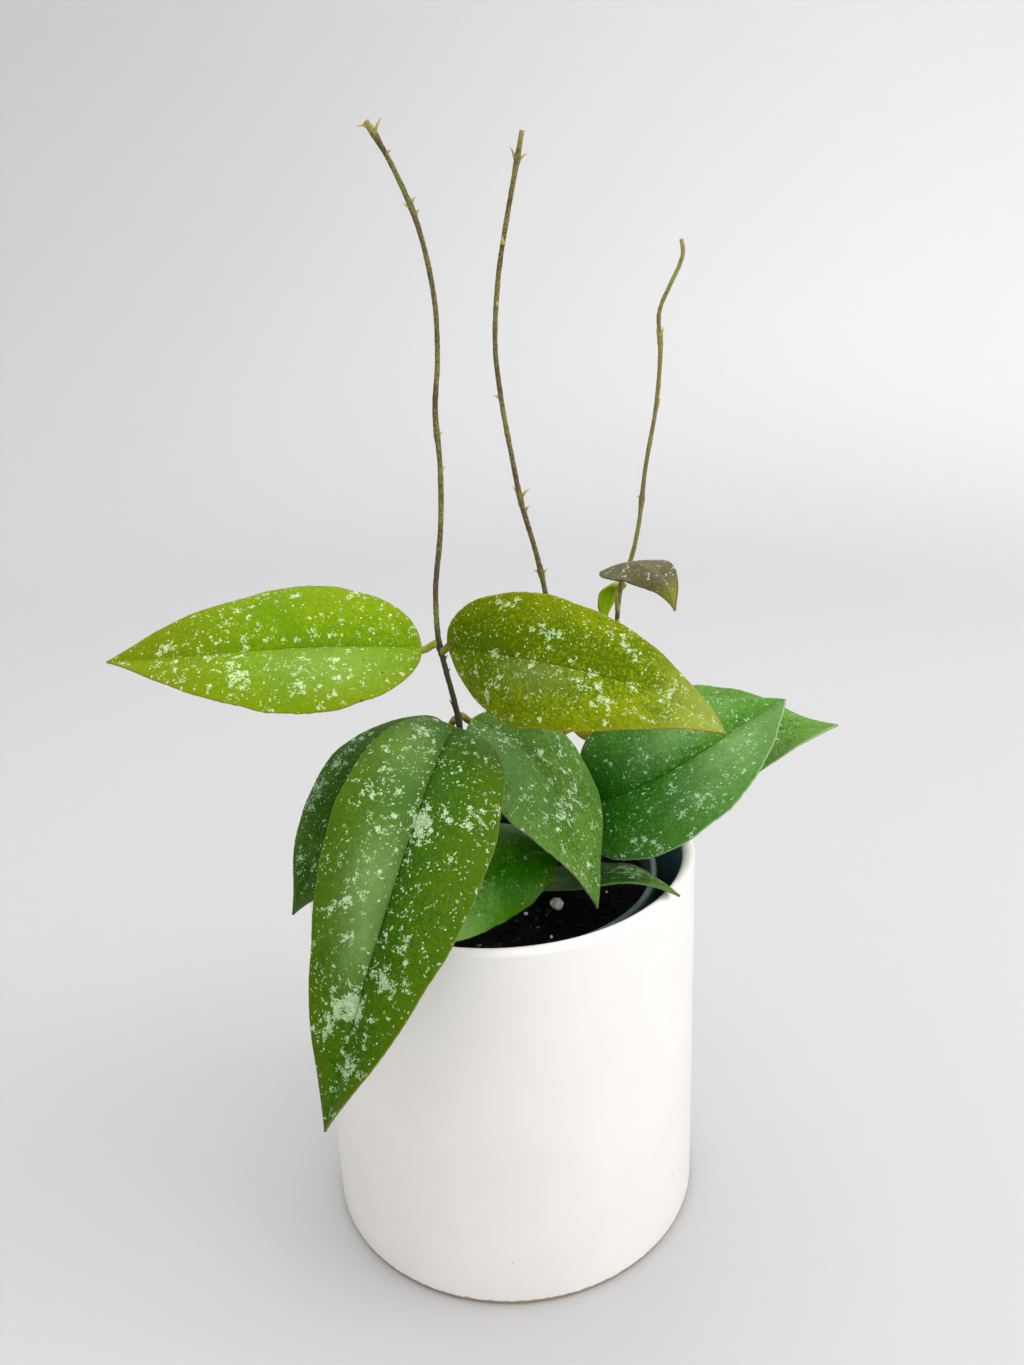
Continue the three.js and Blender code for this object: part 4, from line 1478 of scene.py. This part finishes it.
@dataclass
class Soil:
    """Potting mix: a rough bed, loose crumbs and fibres, and a few pale grains."""

    seed: int = 11
    crumbs: int = 900
    grains: int = 9
    fibres: int = 40

    RADIUS = 48.6
    SIDES = 220
    ROUGH = 0.75
    FIBRE_RADIUS = 0.16
    FIBRE_TINT = 0.22
    CRUMB_RADIUS = 0.35
    CRUMB_SPREAD = 1.1
    DARK_SHARE = 0.97
    PLACED_GRAINS = ((17.2, -14.8, 2.1), (7.0, -20.5, 0.7))

    @staticmethod
    def level(x: np.ndarray, y: np.ndarray) -> np.ndarray:
        """The bed's broad waves, as on the solid.

        Args:
            x: Places to the right.
            y: Places to the back.

        Returns:
            The height at each place.
        """
        broad = np.sin(x / 9 + 1) * np.cos(y / 8 + 2)
        fine = np.sin(x / 3.1 + y / 4.3) * np.cos(y / 2.7 - x / 5.2)
        return SOIL_LEVEL + SOIL_BUMP * (broad + 0.7 * fine)

    def bed(self, material: Material) -> None:
        """Makes the bed, with its sides and underside.

        Args:
            material: The finish of the whole piece.
        """
        floor = NURSERY_FOOT + NURSERY_WALL + 0.3
        foot = NURSERY_FOOT_RADIUS - NURSERY_WALL - 0.6
        shoulder = NURSERY_RIM_TOP - NURSERY_RIM_DEPTH - 1
        sides = turned_rings([(AXIS, floor), (foot, floor), (self.RADIUS, shoulder)], self.SIDES)
        radii = [(radius, 0.0) for radius in np.linspace(self.RADIUS - 0.2, AXIS, 62)]
        top = turned_rings(radii, self.SIDES)
        top[..., 2] = self.level(top[..., 0], top[..., 1])
        for point in top.reshape(-1, 3):
            grit = Vector((point[0] * 0.35, point[1] * 0.35, 3.0))
            point[2] += self.ROUGH * noise.fractal(grit, 0.8, 2.2, 4)
        rings = np.concatenate([sides, top])
        draft = MeshDraft("soil_bed")
        draft.add_loft(rings, {Field.TINT: np.zeros(rings.shape[:2])})
        draft.build(material, Slot.SOIL, "soil")

    def lump(self, centre: np.ndarray, radius: float, rng: random.Random, flat: float,
             rough: float = 0.5, sides: int = 8) -> np.ndarray:
        """Rings of a rough lump.

        Args:
            centre: The lump's middle.
            radius: Its radius.
            rng: The seeded source of random draws.
            flat: Its height against its breadth.
            rough: How uneven it is.
            sides: How many points each ring has.

        Returns:
            The rings.
        """
        turn = Matrix.Rotation(rng.uniform(0, math.tau), 3, "Z")
        turn = turn @ Matrix.Rotation(rng.uniform(-0.7, 0.7), 3, "X")
        stretch = np.array([rng.uniform(0.8, 1.5), rng.uniform(0.6, 1.0), flat])
        offset = Vector((rng.uniform(0, 99), 0, 0))
        rings = []
        for pitch in np.linspace(-1.35, 1.35, sides - 2):
            ring = []
            flat_reach = math.cos(pitch)
            for angle in np.linspace(0, math.tau, sides, endpoint=False):
                way = Vector((flat_reach * math.cos(angle), flat_reach * math.sin(angle), math.sin(pitch)))
                size = radius * (1 + rough * noise.noise(way * 1.6 + offset))
                ring.append(turn @ Vector(np.array(way) * stretch * size))
            rings.append(ring)
        return np.array(rings) + centre

    def scatter(self, rng: random.Random) -> np.ndarray:
        """A random place on the bed.

        Args:
            rng: The seeded source of random draws.

        Returns:
            The place.
        """
        reach = (self.RADIUS - 2.5) * math.sqrt(rng.random())
        angle = rng.uniform(0, math.tau)
        x, y = reach * math.cos(angle), reach * math.sin(angle)
        return np.array([x, y, float(self.level(x, y))])

    def add_fibre(self, draft: MeshDraft, rng: random.Random) -> None:
        """Adds one thin bent fibre that lies on the bed.

        Args:
            draft: The mesh that it is added to.
            rng: The seeded source of random draws.
        """
        start = self.scatter(rng)
        heading, turn = rng.uniform(0, math.tau), rng.uniform(-0.25, 0.25)
        length, points = rng.uniform(5, 12), []
        for i in range(9):
            x = start[0] + length * i / 8 * math.cos(heading + turn * i)
            y = start[1] + length * i / 8 * math.sin(heading + turn * i)
            if math.hypot(x, y) > self.RADIUS - 1:
                break
            points.append(np.array([x, y, float(self.level(x, y)) + 0.5 + 0.4 * math.sin(i)]))
        if len(points) < 4:
            return
        angles = np.linspace(0, math.tau, 6, endpoint=False)
        rings = []
        for i, point in enumerate(points):
            thin = self.FIBRE_RADIUS * (1 - 0.5 * i / len(points))
            rings.append(point + thin * np.stack([0 * angles, np.cos(angles), np.sin(angles)], -1))
        rings = np.array(rings)
        draft.add_loft(rings, {Field.TINT: np.full(rings.shape[:2], self.FIBRE_TINT)})

    def build(self, mix: bpy.types.Material, pale: bpy.types.Material) -> None:
        """Makes the bed, its crumbs and its grains.

        Args:
            mix: The mix's finish.
            pale: The pale grains' finish.
        """
        self.bed(mix)
        rng = random.Random(self.seed)
        crumbs = MeshDraft("soil_crumbs")
        for _ in range(self.crumbs):
            radius = self.CRUMB_RADIUS + self.CRUMB_SPREAD * rng.random() ** 3
            centre = self.scatter(rng) + np.array([0, 0, radius * 0.35])
            rings = self.lump(centre, radius, rng, rng.uniform(0.45, 0.9))
            dark = rng.random() < self.DARK_SHARE
            tint = max(0.0, rng.gauss(0.03, 0.05)) if dark else rng.uniform(0.3, 0.8)
            crumbs.add_loft(rings, {Field.TINT: np.full(rings.shape[:2], tint)})
        for _ in range(self.fibres):
            self.add_fibre(crumbs, rng)
        crumbs.build(mix, Slot.SOIL)
        grains = MeshDraft("soil_grains")
        for x, y, radius in self.PLACED_GRAINS:
            centre = np.array([x, y, float(self.level(x, y)) + radius * 0.6])
            grains.add_loft(self.lump(centre, radius, rng, 0.9, rough=0.3, sides=16))
        for _ in range(self.grains):
            radius = rng.uniform(0.3, 0.7)
            centre = self.scatter(rng) + np.array([0, 0, radius * 0.4])
            grains.add_loft(self.lump(centre, radius, rng, 0.8))
        grains.build(pale, Slot.SOIL)


# Studio

@dataclass
class Studio:
    """A pale round sweep, soft lights and the camera at the photograph's place."""

    camera_place: Triple = (0.0, -0.3397, 0.3175)
    yaw: float = 1.03
    pitch: float = -20.8
    roll: float = -2.47
    lens: float = 30.67

    FLOOR_RADIUS = 900.0
    SWEEP = 900.0
    WALL_TOP = 1600.0
    SIDES = 96
    SUNK = 0.02
    FLOOR_TONE: Colour = (0.51, 0.51, 0.51)
    # The wall's painted falloff: painted shade on the left, painted light on the right.
    WALL_SHADED_LEFT: Colour = (0.485, 0.485, 0.485)
    WALL_LIT_RIGHT: Colour = (0.71, 0.71, 0.71)
    AIR: Colour = (0.9, 0.9, 0.9)
    AIR_STRENGTH = 1.75
    FAR = (700.0, 1500.0)
    LIGHT_FALLOFF = (-1100.0, 900.0)
    SENSOR = 36.0
    AIM: Triple = (0.0, 0.0, 0.16)
    LIGHTS = (
        ("key_light", (1.1, -0.3, 0.85), 0.9, 7.3),
        ("top_light", (-0.1, 0.6, 1.25), 1.0, 2.5),
        ("front_light", (0.3, -1.2, 0.7), 1.2, 3.8),
    )

    def sweep(self) -> None:
        """Makes the floor, which curves up all round into a wall, with painted shade on the wall's left and
        painted light on its right.
        """
        profile = [(1.0, 0.0), (300.0, 0.0), (600.0, 0.0)]
        profile += arc((self.FLOOR_RADIUS, self.SWEEP), self.SWEEP, -90, 0, 40)
        profile += [(self.FLOOR_RADIUS + self.SWEEP, self.WALL_TOP)]
        rings = turned_rings(profile, self.SIDES)[:, ::-1]
        rings[..., 2] -= self.SUNK
        made, graph, shader = Painter.material("floor_paper", Roughness=0.95, Specular_IOR_Level=0.1)
        place = Painter.place_mm(graph)
        far = graph.span(graph.vector("LENGTH", graph.vector("MULTIPLY", place, LEVEL)), *self.FAR)
        # Painted falloff of the light across the wall, darker to the left and lighter to the right.
        painted_falloff = graph.span(graph.parts(place)[0], *self.LIGHT_FALLOFF)
        wall = graph.mix(painted_falloff, self.WALL_SHADED_LEFT, self.WALL_LIT_RIGHT)
        graph.feed(shader.inputs["Base Color"], graph.mix(far, self.FLOOR_TONE, wall))
        draft = MeshDraft("floor_sweep")
        draft.add_loft(rings, closed=False)
        draft.plain(made)

    @staticmethod
    def light(name: str, place: Triple, size: float, power: float) -> None:
        """Adds a square soft light that faces the plant.

        Args:
            name: The light's name.
            place: Where it stands, in metres.
            size: Its side in metres.
            power: Its power in watts.
        """
        data = bpy.data.lights.new(name, "AREA")
        data.size = size
        data.energy = power
        lamp = bpy.data.objects.new(name, data)
        lamp.location = place
        lamp.rotation_euler = (Vector(Studio.AIM) - Vector(place)).to_track_quat("-Z", "Y").to_euler()
        bpy.context.scene.collection.objects.link(lamp)

    def camera(self) -> None:
        """Places the camera by its pitch, yaw and roll."""
        data = bpy.data.cameras.new("camera")
        data.lens = self.lens
        data.sensor_width = self.SENSOR
        camera = bpy.data.objects.new("camera", data)
        turn = Matrix.Rotation(math.radians(-self.yaw), 4, "Z")
        tilt = Matrix.Rotation(math.radians(90 + self.pitch), 4, "X")
        spin = Matrix.Rotation(math.radians(self.roll), 4, "Z")
        camera.matrix_world = Matrix.Translation(self.camera_place) @ turn @ tilt @ spin
        bpy.context.scene.collection.objects.link(camera)
        bpy.context.scene.camera = camera

    def world(self) -> None:
        """Lights the scene from all round with an even pale grey."""
        world = bpy.data.worlds.new("studio_air")
        world.use_nodes = True
        air = world.node_tree.nodes["Background"].inputs
        air["Color"].default_value = (*self.AIR, 1)
        air["Strength"].default_value = self.AIR_STRENGTH
        bpy.context.scene.world = world

    def build(self) -> None:
        """Makes the whole studio."""
        bpy.context.scene.view_settings.view_transform = "Standard"
        self.camera()
        self.sweep()
        self.world()
        for name, place, size, power in self.LIGHTS:
            self.light(name, place, size, power)
        LOG.info("studio built")


# The plant's sizes, as on the solids

STEMS = {
    "vine_left": Stem(
        node="vine_left",
        route=[
            (-7, -3, 86), (-8, -4, 116), (-9.5, -7, 150), (-11, -8, 180), (-14, -8, 197),
            (-15.5, -8, 206), (-15.5, -7, 221), (-13, -5, 239), (-12, -3, 257), (-12.5, -1, 273),
            (-11, 1, 287), (-11, 3, 304), (-14.5, 5, 323), (-19.5, 6, 336), (-23, 6.5, 343),
            (-26.5, 7, 349),
        ],
        base_radius=0.95, tip_radius=0.7, knuckles=[180, 204, 267, 327, 345, 348], seed=1,
        finish=BarkFinish(aged_height=208),
        scales=[
            StemScale(347, 185, 3.4, spread=62), StemScale(346, 5, 4.4, 1.8, 22),
            StemScale(341, 0, 1.3, spread=50), StemScale(328, 0, 2.2),
            StemScale(326.5, 185, 2.4, spread=40), StemScale(325, -20, 2),
            StemScale(266, 0, 1.6, spread=40), StemScale(256.5, 0, 1.3, spread=40),
            StemScale(200, 0, 1.6, tender=0.2), StemScale(196, -10, 1.4, tender=0.2),
            StemScale(182.5, 185, 5, width=1, spread=16, tender=0),
        ],
    ),
    "vine_middle": Stem(
        node="vine_middle",
        route=[
            (24, 9, 86), (23, 10, 116), (23, 12, 140), (22, 13, 164), (20, 12, 190), (18, 11, 213.5),
            (15, 9, 229), (11.5, 7, 243), (9, 5, 258), (6.5, 4, 275.5), (5.5, 2, 290), (7, 1, 307),
            (9, 0, 318), (12.5, -1, 333.5), (15, -2, 344.5),
        ],
        base_radius=0.95, tip_radius=0.68, knuckles=[125, 139, 165, 221, 245, 337], seed=2,
        finish=BarkFinish(bark=(0.085, 0.05, 0.03), green=(0.2, 0.19, 0.045), aged_height=190),
        scales=[
            StemScale(337.5, 180, 3.6, spread=16), StemScale(336.5, 0, 3.6, spread=36),
            StemScale(316.5, -75, 2.4, 1.5, 3, tender=1), StemScale(300.5, -50, 2.2, 1.4, 3, tender=1),
            StemScale(275, 185, 1.8, spread=55), StemScale(245.5, 185, 3.6, spread=20),
            StemScale(245, -5, 4, spread=34), StemScale(242, 185, 1.8),
            StemScale(240.5, -10, 2.6, spread=24), StemScale(220, 180, 2.4, spread=40),
            StemScale(220, 0, 2.4, spread=30),
        ],
    ),
    "vine_right": Stem(
        node="vine_right",
        route=[
            (36, 20, 86), (37, 21, 116), (40, 25, 150), (41, 22, 180), (41.3, 19, 200), (43.1, 18, 215),
            (45.8, 17, 222), (48, 16, 232.5), (50, 15, 250.5), (53, 13, 270), (54, 12, 285.5),
            (53.5, 11, 296.5), (56.5, 10, 304), (59, 10, 309), (60, 10, 312.5), (59.5, 10, 316),
        ],
        base_radius=0.9, tip_radius=0.6, knuckles=[150, 213, 241, 288], seed=3,
        finish=BarkFinish(bark=(0.16, 0.13, 0.05), green=(0.27, 0.275, 0.055), aged_height=204),
        scales=[
            StemScale(289.5, 5, 2.8, spread=10), StemScale(289.5, 185, 2.6, spread=10),
            StemScale(269, 0, 2.8, spread=14), StemScale(241.5, 180, 1.3, spread=50),
            StemScale(200.5, -60, 2.6, 1.4, 3, tender=1), StemScale(204, -70, 9, 1.7, 1.5, tender=0.7),
            StemScale(204.5, 190, 8, 1.5, 3, tender=0.5),
        ],
    ),
}

LEAVES = [
    Leaf(
        node="leaf_upper_left", stem="vine_left", join=205, base=(-21, -7, 203), length=93, width=44,
        heading=(196, 181, 184), pitch=(14, -1, 2), roll=(-40, -42, -32), fold=25, curl=50, wave=0.5,
        slot=Slot.LEAF_BRIGHT, groove=0.12,
        finish=LeafFinish(
            deep=(0.12, 0.24, 0.001), fresh=(0.22, 0.315, 0.001), edge=(0.2, 0.27, 0.0),
            vein=(0.14, 0.26, 0.02), under=(0.3, 0.42, 0.06), splash=(0.53, 0.69, 0.34),
            margin=(0.26, 0.15, 0.02), tip=(0.15, 0.2, 0.001), stalk=(0.3, 0.3, 0.04),
            bloom=(0.26, 0.39, 0.095), tip_reach=0.5, splash_amount=1.15, vein_amount=0.05,
            net_amount=0.7, valley=0.5, gloss=0.05, painted_shade=0.6,
        ),
        patches=[
            (0.59, 0.58, 3, 1.0), (0.57, 0.2, 3, 1.4), (0.56, 0.68, 3, 1.0), (0.73, 0.38, 3, 1.4),
            (0.63, -0.32, 4, 1.4), (0.57, -0.5, 3, 1.4), (0.4, -0.12, 3, 1.2), (0.29, 0.2, 3, 1.2),
            (0.39, -0.68, 3, 1.4), (0.21, 0.83, 2.5, 1.0), (0.66, -0.12, 3, 1.0), (0.8, 0.23, 2.5, 1.0),
            (0.17, 0.12, 2.5, 0.8), (0.26, -0.5, 3, 0.8), (0.47, -0.2, 3, 1.2),
        ],
        blooms=[(0.3, -0.35, 8, 0.45), (0.5, -0.15, 6, 0.05)],
    ),
    Leaf(
        node="leaf_upper_right", stem="vine_left", join=203, base=(-12, -10, 205), length=92, width=39,
        heading=(-52, -16, 12), pitch=(7, -12, -44), roll=(100, 48, 43), fold=14, curl=26, wave=0.6,
        slot=Slot.LEAF_MATURE, groove=0.1,
        finish=LeafFinish(
            deep=(0.07, 0.13, 0.001), fresh=(0.235, 0.28, 0.001), edge=(0.17, 0.205, 0.001),
            vein=(0.1, 0.16, 0.01), under=(0.12, 0.17, 0.03), splash=(0.46, 0.62, 0.31),
            margin=(0.34, 0.2, 0.03), tip=(0.26, 0.31, 0.06), stalk=(0.2, 0.2, 0.03),
            bloom=(0.12, 0.18, 0.04), edge_reach=0.5, tip_reach=0.35, splash_amount=1.1, vein_amount=0.05,
            net_amount=0.3, valley=0.35, ripening=0.12, gloss=0.03, painted_shade=0.4,
        ),
        patches=[
            (0.37, -0.42, 3, 1.5), (0.58, -0.68, 4, 1.6), (0.21, -0.02, 3, 1.2), (0.52, 0.07, 2.5, 1.2),
            (0.56, 0.58, 3.5, 1.8), (0.52, 0.48, 3.5, 1.5), (0.76, -0.1, 3.5, 1.8), (0.66, 0.6, 2.5, 1.4),
            (0.37, 0.68, 2.5, 1.2), (0.19, 0.7, 3, 1.2), (0.2, -0.88, 3, 1.0), (0.67, -0.62, 3, 1.2),
        ],
        blooms=[(0.36, 0.2, 5, 0.7)],
    ),
    Leaf(
        node="leaf_front_hanging", stem="vine_left", join=176, base=(-12, -13, 178.5), length=135,
        width=46, heading=(-100, -120, -168), pitch=(16, -49, -72), roll=(-17, -17, -27), fold=20,
        curl=40, wave=0.6, slot=Slot.LEAF_MATURE,
        finish=LeafFinish(
            deep=(0.024, 0.085, 0.001), fresh=(0.06, 0.135, 0.001), edge=(0.07, 0.125, 0.001),
            vein=(0.05, 0.12, 0.015), margin=(0.16, 0.19, 0.03), splash=(0.42, 0.55, 0.32),
            bloom=(0.2, 0.33, 0.1), edge_reach=0.5, splash_amount=1.2, vein_amount=0.06, valley=1.1,
            ripening=0.12, gloss=0.05,
        ),
        patches=[
            (0.34, -0.02, 5, 2.6), (0.36, -0.2, 4, 1.6), (0.74, 0.15, 4, 2.0), (0.72, 0.33, 3.5, 1.8),
            (0.74, -0.07, 4, 2.0), (0.65, -0.3, 5, 2.2), (0.6, -0.43, 4, 1.5), (0.14, 0.3, 5, 1.5),
            (0.28, 0.53, 3, 1.2), (0.54, 0.0, 4, 1.6), (0.33, -0.68, 3.5, 1.3), (0.41, -0.35, 3, 1.2),
            (0.84, -0.27, 4, 2.2), (0.79, 0.53, 3, 1.6), (0.47, 0.8, 3, 1.2), (0.54, 0.53, 3, 1.2),
            (0.12, 0.48, 3, 1.0),
        ],
        blooms=[(0.48, 0.3, 7, 0.6), (0.62, 0.2, 5, 0.45), (0.17, 0.4, 8, 0.4)],
    ),
    Leaf(
        node="leaf_left_hanging", stem="vine_left", join=180, base=(-15, -4, 176), length=77, width=44,
        heading=(190, 209, 202), pitch=(-15, -45, -60), roll=(-5, -15, -8), fold=6, curl=20, wave=0.5,
        slot=Slot.LEAF_DARK,
        finish=LeafFinish(
            deep=(0.017, 0.06, 0.002), fresh=(0.05, 0.115, 0.009), edge=(0.055, 0.13, 0.01),
            vein=(0.08, 0.16, 0.05), splash=(0.33, 0.48, 0.3), bloom=(0.12, 0.22, 0.09),
            margin=(0.08, 0.08, 0.03), splash_amount=1.2, vein_amount=0.2, gloss=0.05,
        ),
        patches=[
            (0.54, 0.85, 4, 1.5), (0.38, 0.75, 4, 1.5), (0.63, 0.75, 3, 1.2), (0.8, 0.65, 3, 1.0),
            (0.29, 0.73, 3, 1.0),
        ],
    ),
    Leaf(
        node="leaf_centre", stem="vine_left", join=181, base=(-7, -4, 177.5), length=73, width=47,
        heading=(-25, -52, -59), pitch=(-5, -46, -66), roll=(7, -12, -42), fold=11, curl=37, wave=0.5,
        slot=Slot.LEAF_MATURE,
        finish=LeafFinish(
            deep=(0.045, 0.125, 0.01), fresh=(0.105, 0.215, 0.028), edge=(0.12, 0.24, 0.04),
            vein=(0.09, 0.2, 0.05), splash=(0.46, 0.6, 0.39), bloom=(0.16, 0.3, 0.11),
            margin=(0.16, 0.15, 0.08), splash_amount=1.05, vein_amount=0.2, ripening=0.15, gloss=0.05,
        ),
        patches=[
            (0.24, -0.05, 4, 1.8), (0.32, -0.17, 3.5, 1.5), (0.56, -0.3, 4, 2.0), (0.84, -0.17, 3, 1.6),
            (0.48, 0.1, 3, 1.2), (0.18, 0.0, 3, 1.4), (0.6, 0.18, 3, 1.0),
        ],
        blooms=[(0.3, 0.5, 9, 0.4)],
    ),
    Leaf(
        node="leaf_low_front", stem="vine_middle", join=125, base=(17, -20, 138), length=62, width=31,
        heading=(-158, -135, -117), pitch=(31, -15, 9), roll=(-17, -44, -8), fold=4, curl=34, wave=0.4,
        slot=Slot.LEAF_DARK,
        finish=LeafFinish(
            deep=(0.018, 0.13, 0.0), fresh=(0.08, 0.245, 0.002), edge=(0.11, 0.26, 0.006),
            # The pale tip colour here is a painted sheen over the tip.
            vein=(0.04, 0.11, 0.008), bloom=(0.2, 0.34, 0.1), tip=(0.23, 0.38, 0.09), splash_amount=0.35,
            splash=(0.3, 0.46, 0.25), margin=(0.08, 0.16, 0.04), tip_reach=0.4, vein_amount=0.1,
            valley=0.3, ripening=0.2, coat=0.12, gloss=0.05,
        ),
        patches=[(0.79, -0.72, 3, 2.0), (0.65, -0.05, 3, 1.6)],
        blooms=[(0.8, -0.75, 6, 0.2), (0.3, 0.6, 5, 0.3)],
    ),
    Leaf(
        node="leaf_right_broad", stem="vine_middle", join=139, base=(28, 6, 141), length=86, width=51,
        heading=(-58, 15, 39), pitch=(28, 24, 0), roll=(80, 30, -9), fold=21, curl=17, wave=0.6,
        slot=Slot.LEAF_MATURE, groove=0.15,
        finish=LeafFinish(
            deep=(0.011, 0.105, 0.001), fresh=(0.075, 0.21, 0.02), edge=(0.1, 0.25, 0.04),
            vein=(0.05, 0.16, 0.03), splash=(0.42, 0.6, 0.4), bloom=(0.22, 0.38, 0.13),
            # The ripening here darkens the base end, which lies under the upper leaves: painted shade.
            margin=(0.3, 0.42, 0.24), splash_amount=0.75, vein_amount=0.15, valley=0.8, ripening=0.35,
            gloss=0.05, painted_shade=0.15,
        ),
        patches=[
            (0.44, 0.65, 4.5, 2.2), (0.6, 0.53, 4, 2.0), (0.67, 0.48, 3, 1.6), (0.38, 0.25, 4, 1.6),
            (0.58, -0.45, 3, 1.2), (0.63, 0.05, 3.5, 1.6), (0.27, 0.93, 3, 1.6), (0.24, 0.68, 3, 1.8),
            (0.17, 0.78, 3, 1.8), (0.76, -0.15, 3, 1.4), (0.12, 0.62, 3, 1.2),
        ],
        blooms=[
            (0.5, -0.35, 8, 0.55), (0.78, -0.1, 8, 0.15), (0.64, 0.2, 8, 0.5), (0.55, 0.65, 8, 0.35),
            (0.75, 0.45, 8, 0.25),
        ],
    ),
    Leaf(
        node="leaf_right_rear", stem="vine_right", join=150, base=(46, 24, 150), length=72, width=43,
        heading=(20, -11, -20), pitch=(22, 4, 19), roll=(38, 33, -4), fold=2, curl=14, wave=0.5,
        slot=Slot.LEAF_MATURE,
        finish=LeafFinish(
            deep=(0.045, 0.14, 0.008), fresh=(0.14, 0.28, 0.04), edge=(0.14, 0.29, 0.06),
            vein=(0.14, 0.27, 0.08), margin=(0.34, 0.45, 0.26), splash=(0.42, 0.6, 0.4),
            splash_amount=0.6, vein_amount=0.3, ripening=0.2, gloss=0.06,
        ),
    ),
    Leaf(
        node="leaf_low_right", stem="vine_middle", join=121, base=(10, 0, 121), length=61, width=25,
        heading=(-50, -44, -35), pitch=(3, 21, -17), roll=(-10, -3, -29), fold=9, curl=14, wave=0.3,
        slot=Slot.LEAF_MATURE,
        finish=LeafFinish(
            # Its deep and fresh greens are darker than the leaf's own green: painted shade from the leaves
            # above it.
            deep=(0.005, 0.03, 0.001), fresh=(0.03, 0.105, 0.006), edge=(0.035, 0.11, 0.006),
            tip=(0.12, 0.28, 0.02), tip_reach=0.3, splash=(0.17, 0.28, 0.12), bloom=(0.16, 0.3, 0.12),
            margin=(0.1, 0.18, 0.06), splash_amount=1.1, vein_amount=0.2, gloss=0.04,
        ),
        patches=[(0.6, -0.6, 6, 1.5), (0.75, -0.4, 5, 1.5)],
    ),
    Leaf(
        node="leaf_bronze", stem="vine_right", join=215, base=(35.7, 11.2, 218.9), length=37.5, width=16,
        heading=(-19, -58, -78), pitch=(36, -8, -53), roll=(-11, 24, 60), fold=-13, curl=8, wave=0.3,
        shape=0.4, slot=Slot.LEAF_BRONZE, groove=0.08, stalk_radius=0.6, stalk_bend=0.1,
        finish=LeafFinish(
            deep=(0.1, 0.088, 0.042), fresh=(0.18, 0.168, 0.08), edge=(0.12, 0.112, 0.05),
            vein=(0.3, 0.3, 0.19), under=(0.22, 0.24, 0.1), splash=(0.5, 0.58, 0.45),
            margin=(0.1, 0.07, 0.04), tip=(0.29, 0.34, 0.008), stalk=(0.12, 0.105, 0.05), tip_reach=0.35,
            splash_amount=0.75, vein_amount=0.2, valley=0.3, gloss=0.06,
        ),
        patches=[(0.4, 0.3, 3, 2.4), (0.55, 0.1, 3, 2.0), (0.3, 0.1, 3, 1.0)],
    ),
    Leaf(
        node="leaf_young_green", stem="vine_right", join=212, base=(42, 21.4, 212.5), length=15, width=13,
        heading=(120, 140, 150), pitch=(-45, -70, -80), roll=(0, 0, 0), fold=10, curl=14, wave=0.2,
        slot=Slot.LEAF_BRIGHT,
        finish=LeafFinish(
            deep=(0.15, 0.3, 0.0), fresh=(0.23, 0.36, 0.0), edge=(0.18, 0.34, 0.0),
            vein=(0.26, 0.4, 0.04), under=(0.22, 0.36, 0.001), stalk=(0.5, 0.5, 0.14), splash_amount=0.1,
            vein_amount=0.3, net_amount=0.1, gloss=0.02,
        ),
    ),
    Leaf(
        node="leaf_small_yellow", stem="vine_middle", join=165, base=(26, 15, 165.5), length=15, width=9,
        heading=(5, 0, -5), pitch=(5, -15, -40), roll=(50, 60, 60), fold=8, curl=14, wave=0.2,
        slot=Slot.LEAF_YELLOW,
        finish=LeafFinish(
            deep=(0.2, 0.2, 0.002), fresh=(0.34, 0.31, 0.005), vein=(0.4, 0.38, 0.05),
            under=(0.32, 0.3, 0.01), splash_amount=0.3, vein_amount=0.3,
        ),
    ),
]


def main() -> None:
    """Loads the frame and builds every piece and the studio."""
    logging.basicConfig(level=logging.INFO, format="%(message)s")
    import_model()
    Studio().build()
    painter = Painter()
    CoverPot().build(GlazeFinish().make(painter, "cover_glaze"))
    NurseryPot().build(PlasticFinish().make(painter, "nursery_plastic"))
    Soil().build(SoilFinish().make(painter, "soil_mix"), GrainFinish().make(painter, "pale_grains"))
    for stem in STEMS.values():
        stem.build(painter)
    for leaf in LEAVES:
        leaf.build(painter, STEMS[leaf.stem])


if __name__ == "__main__":
    main()
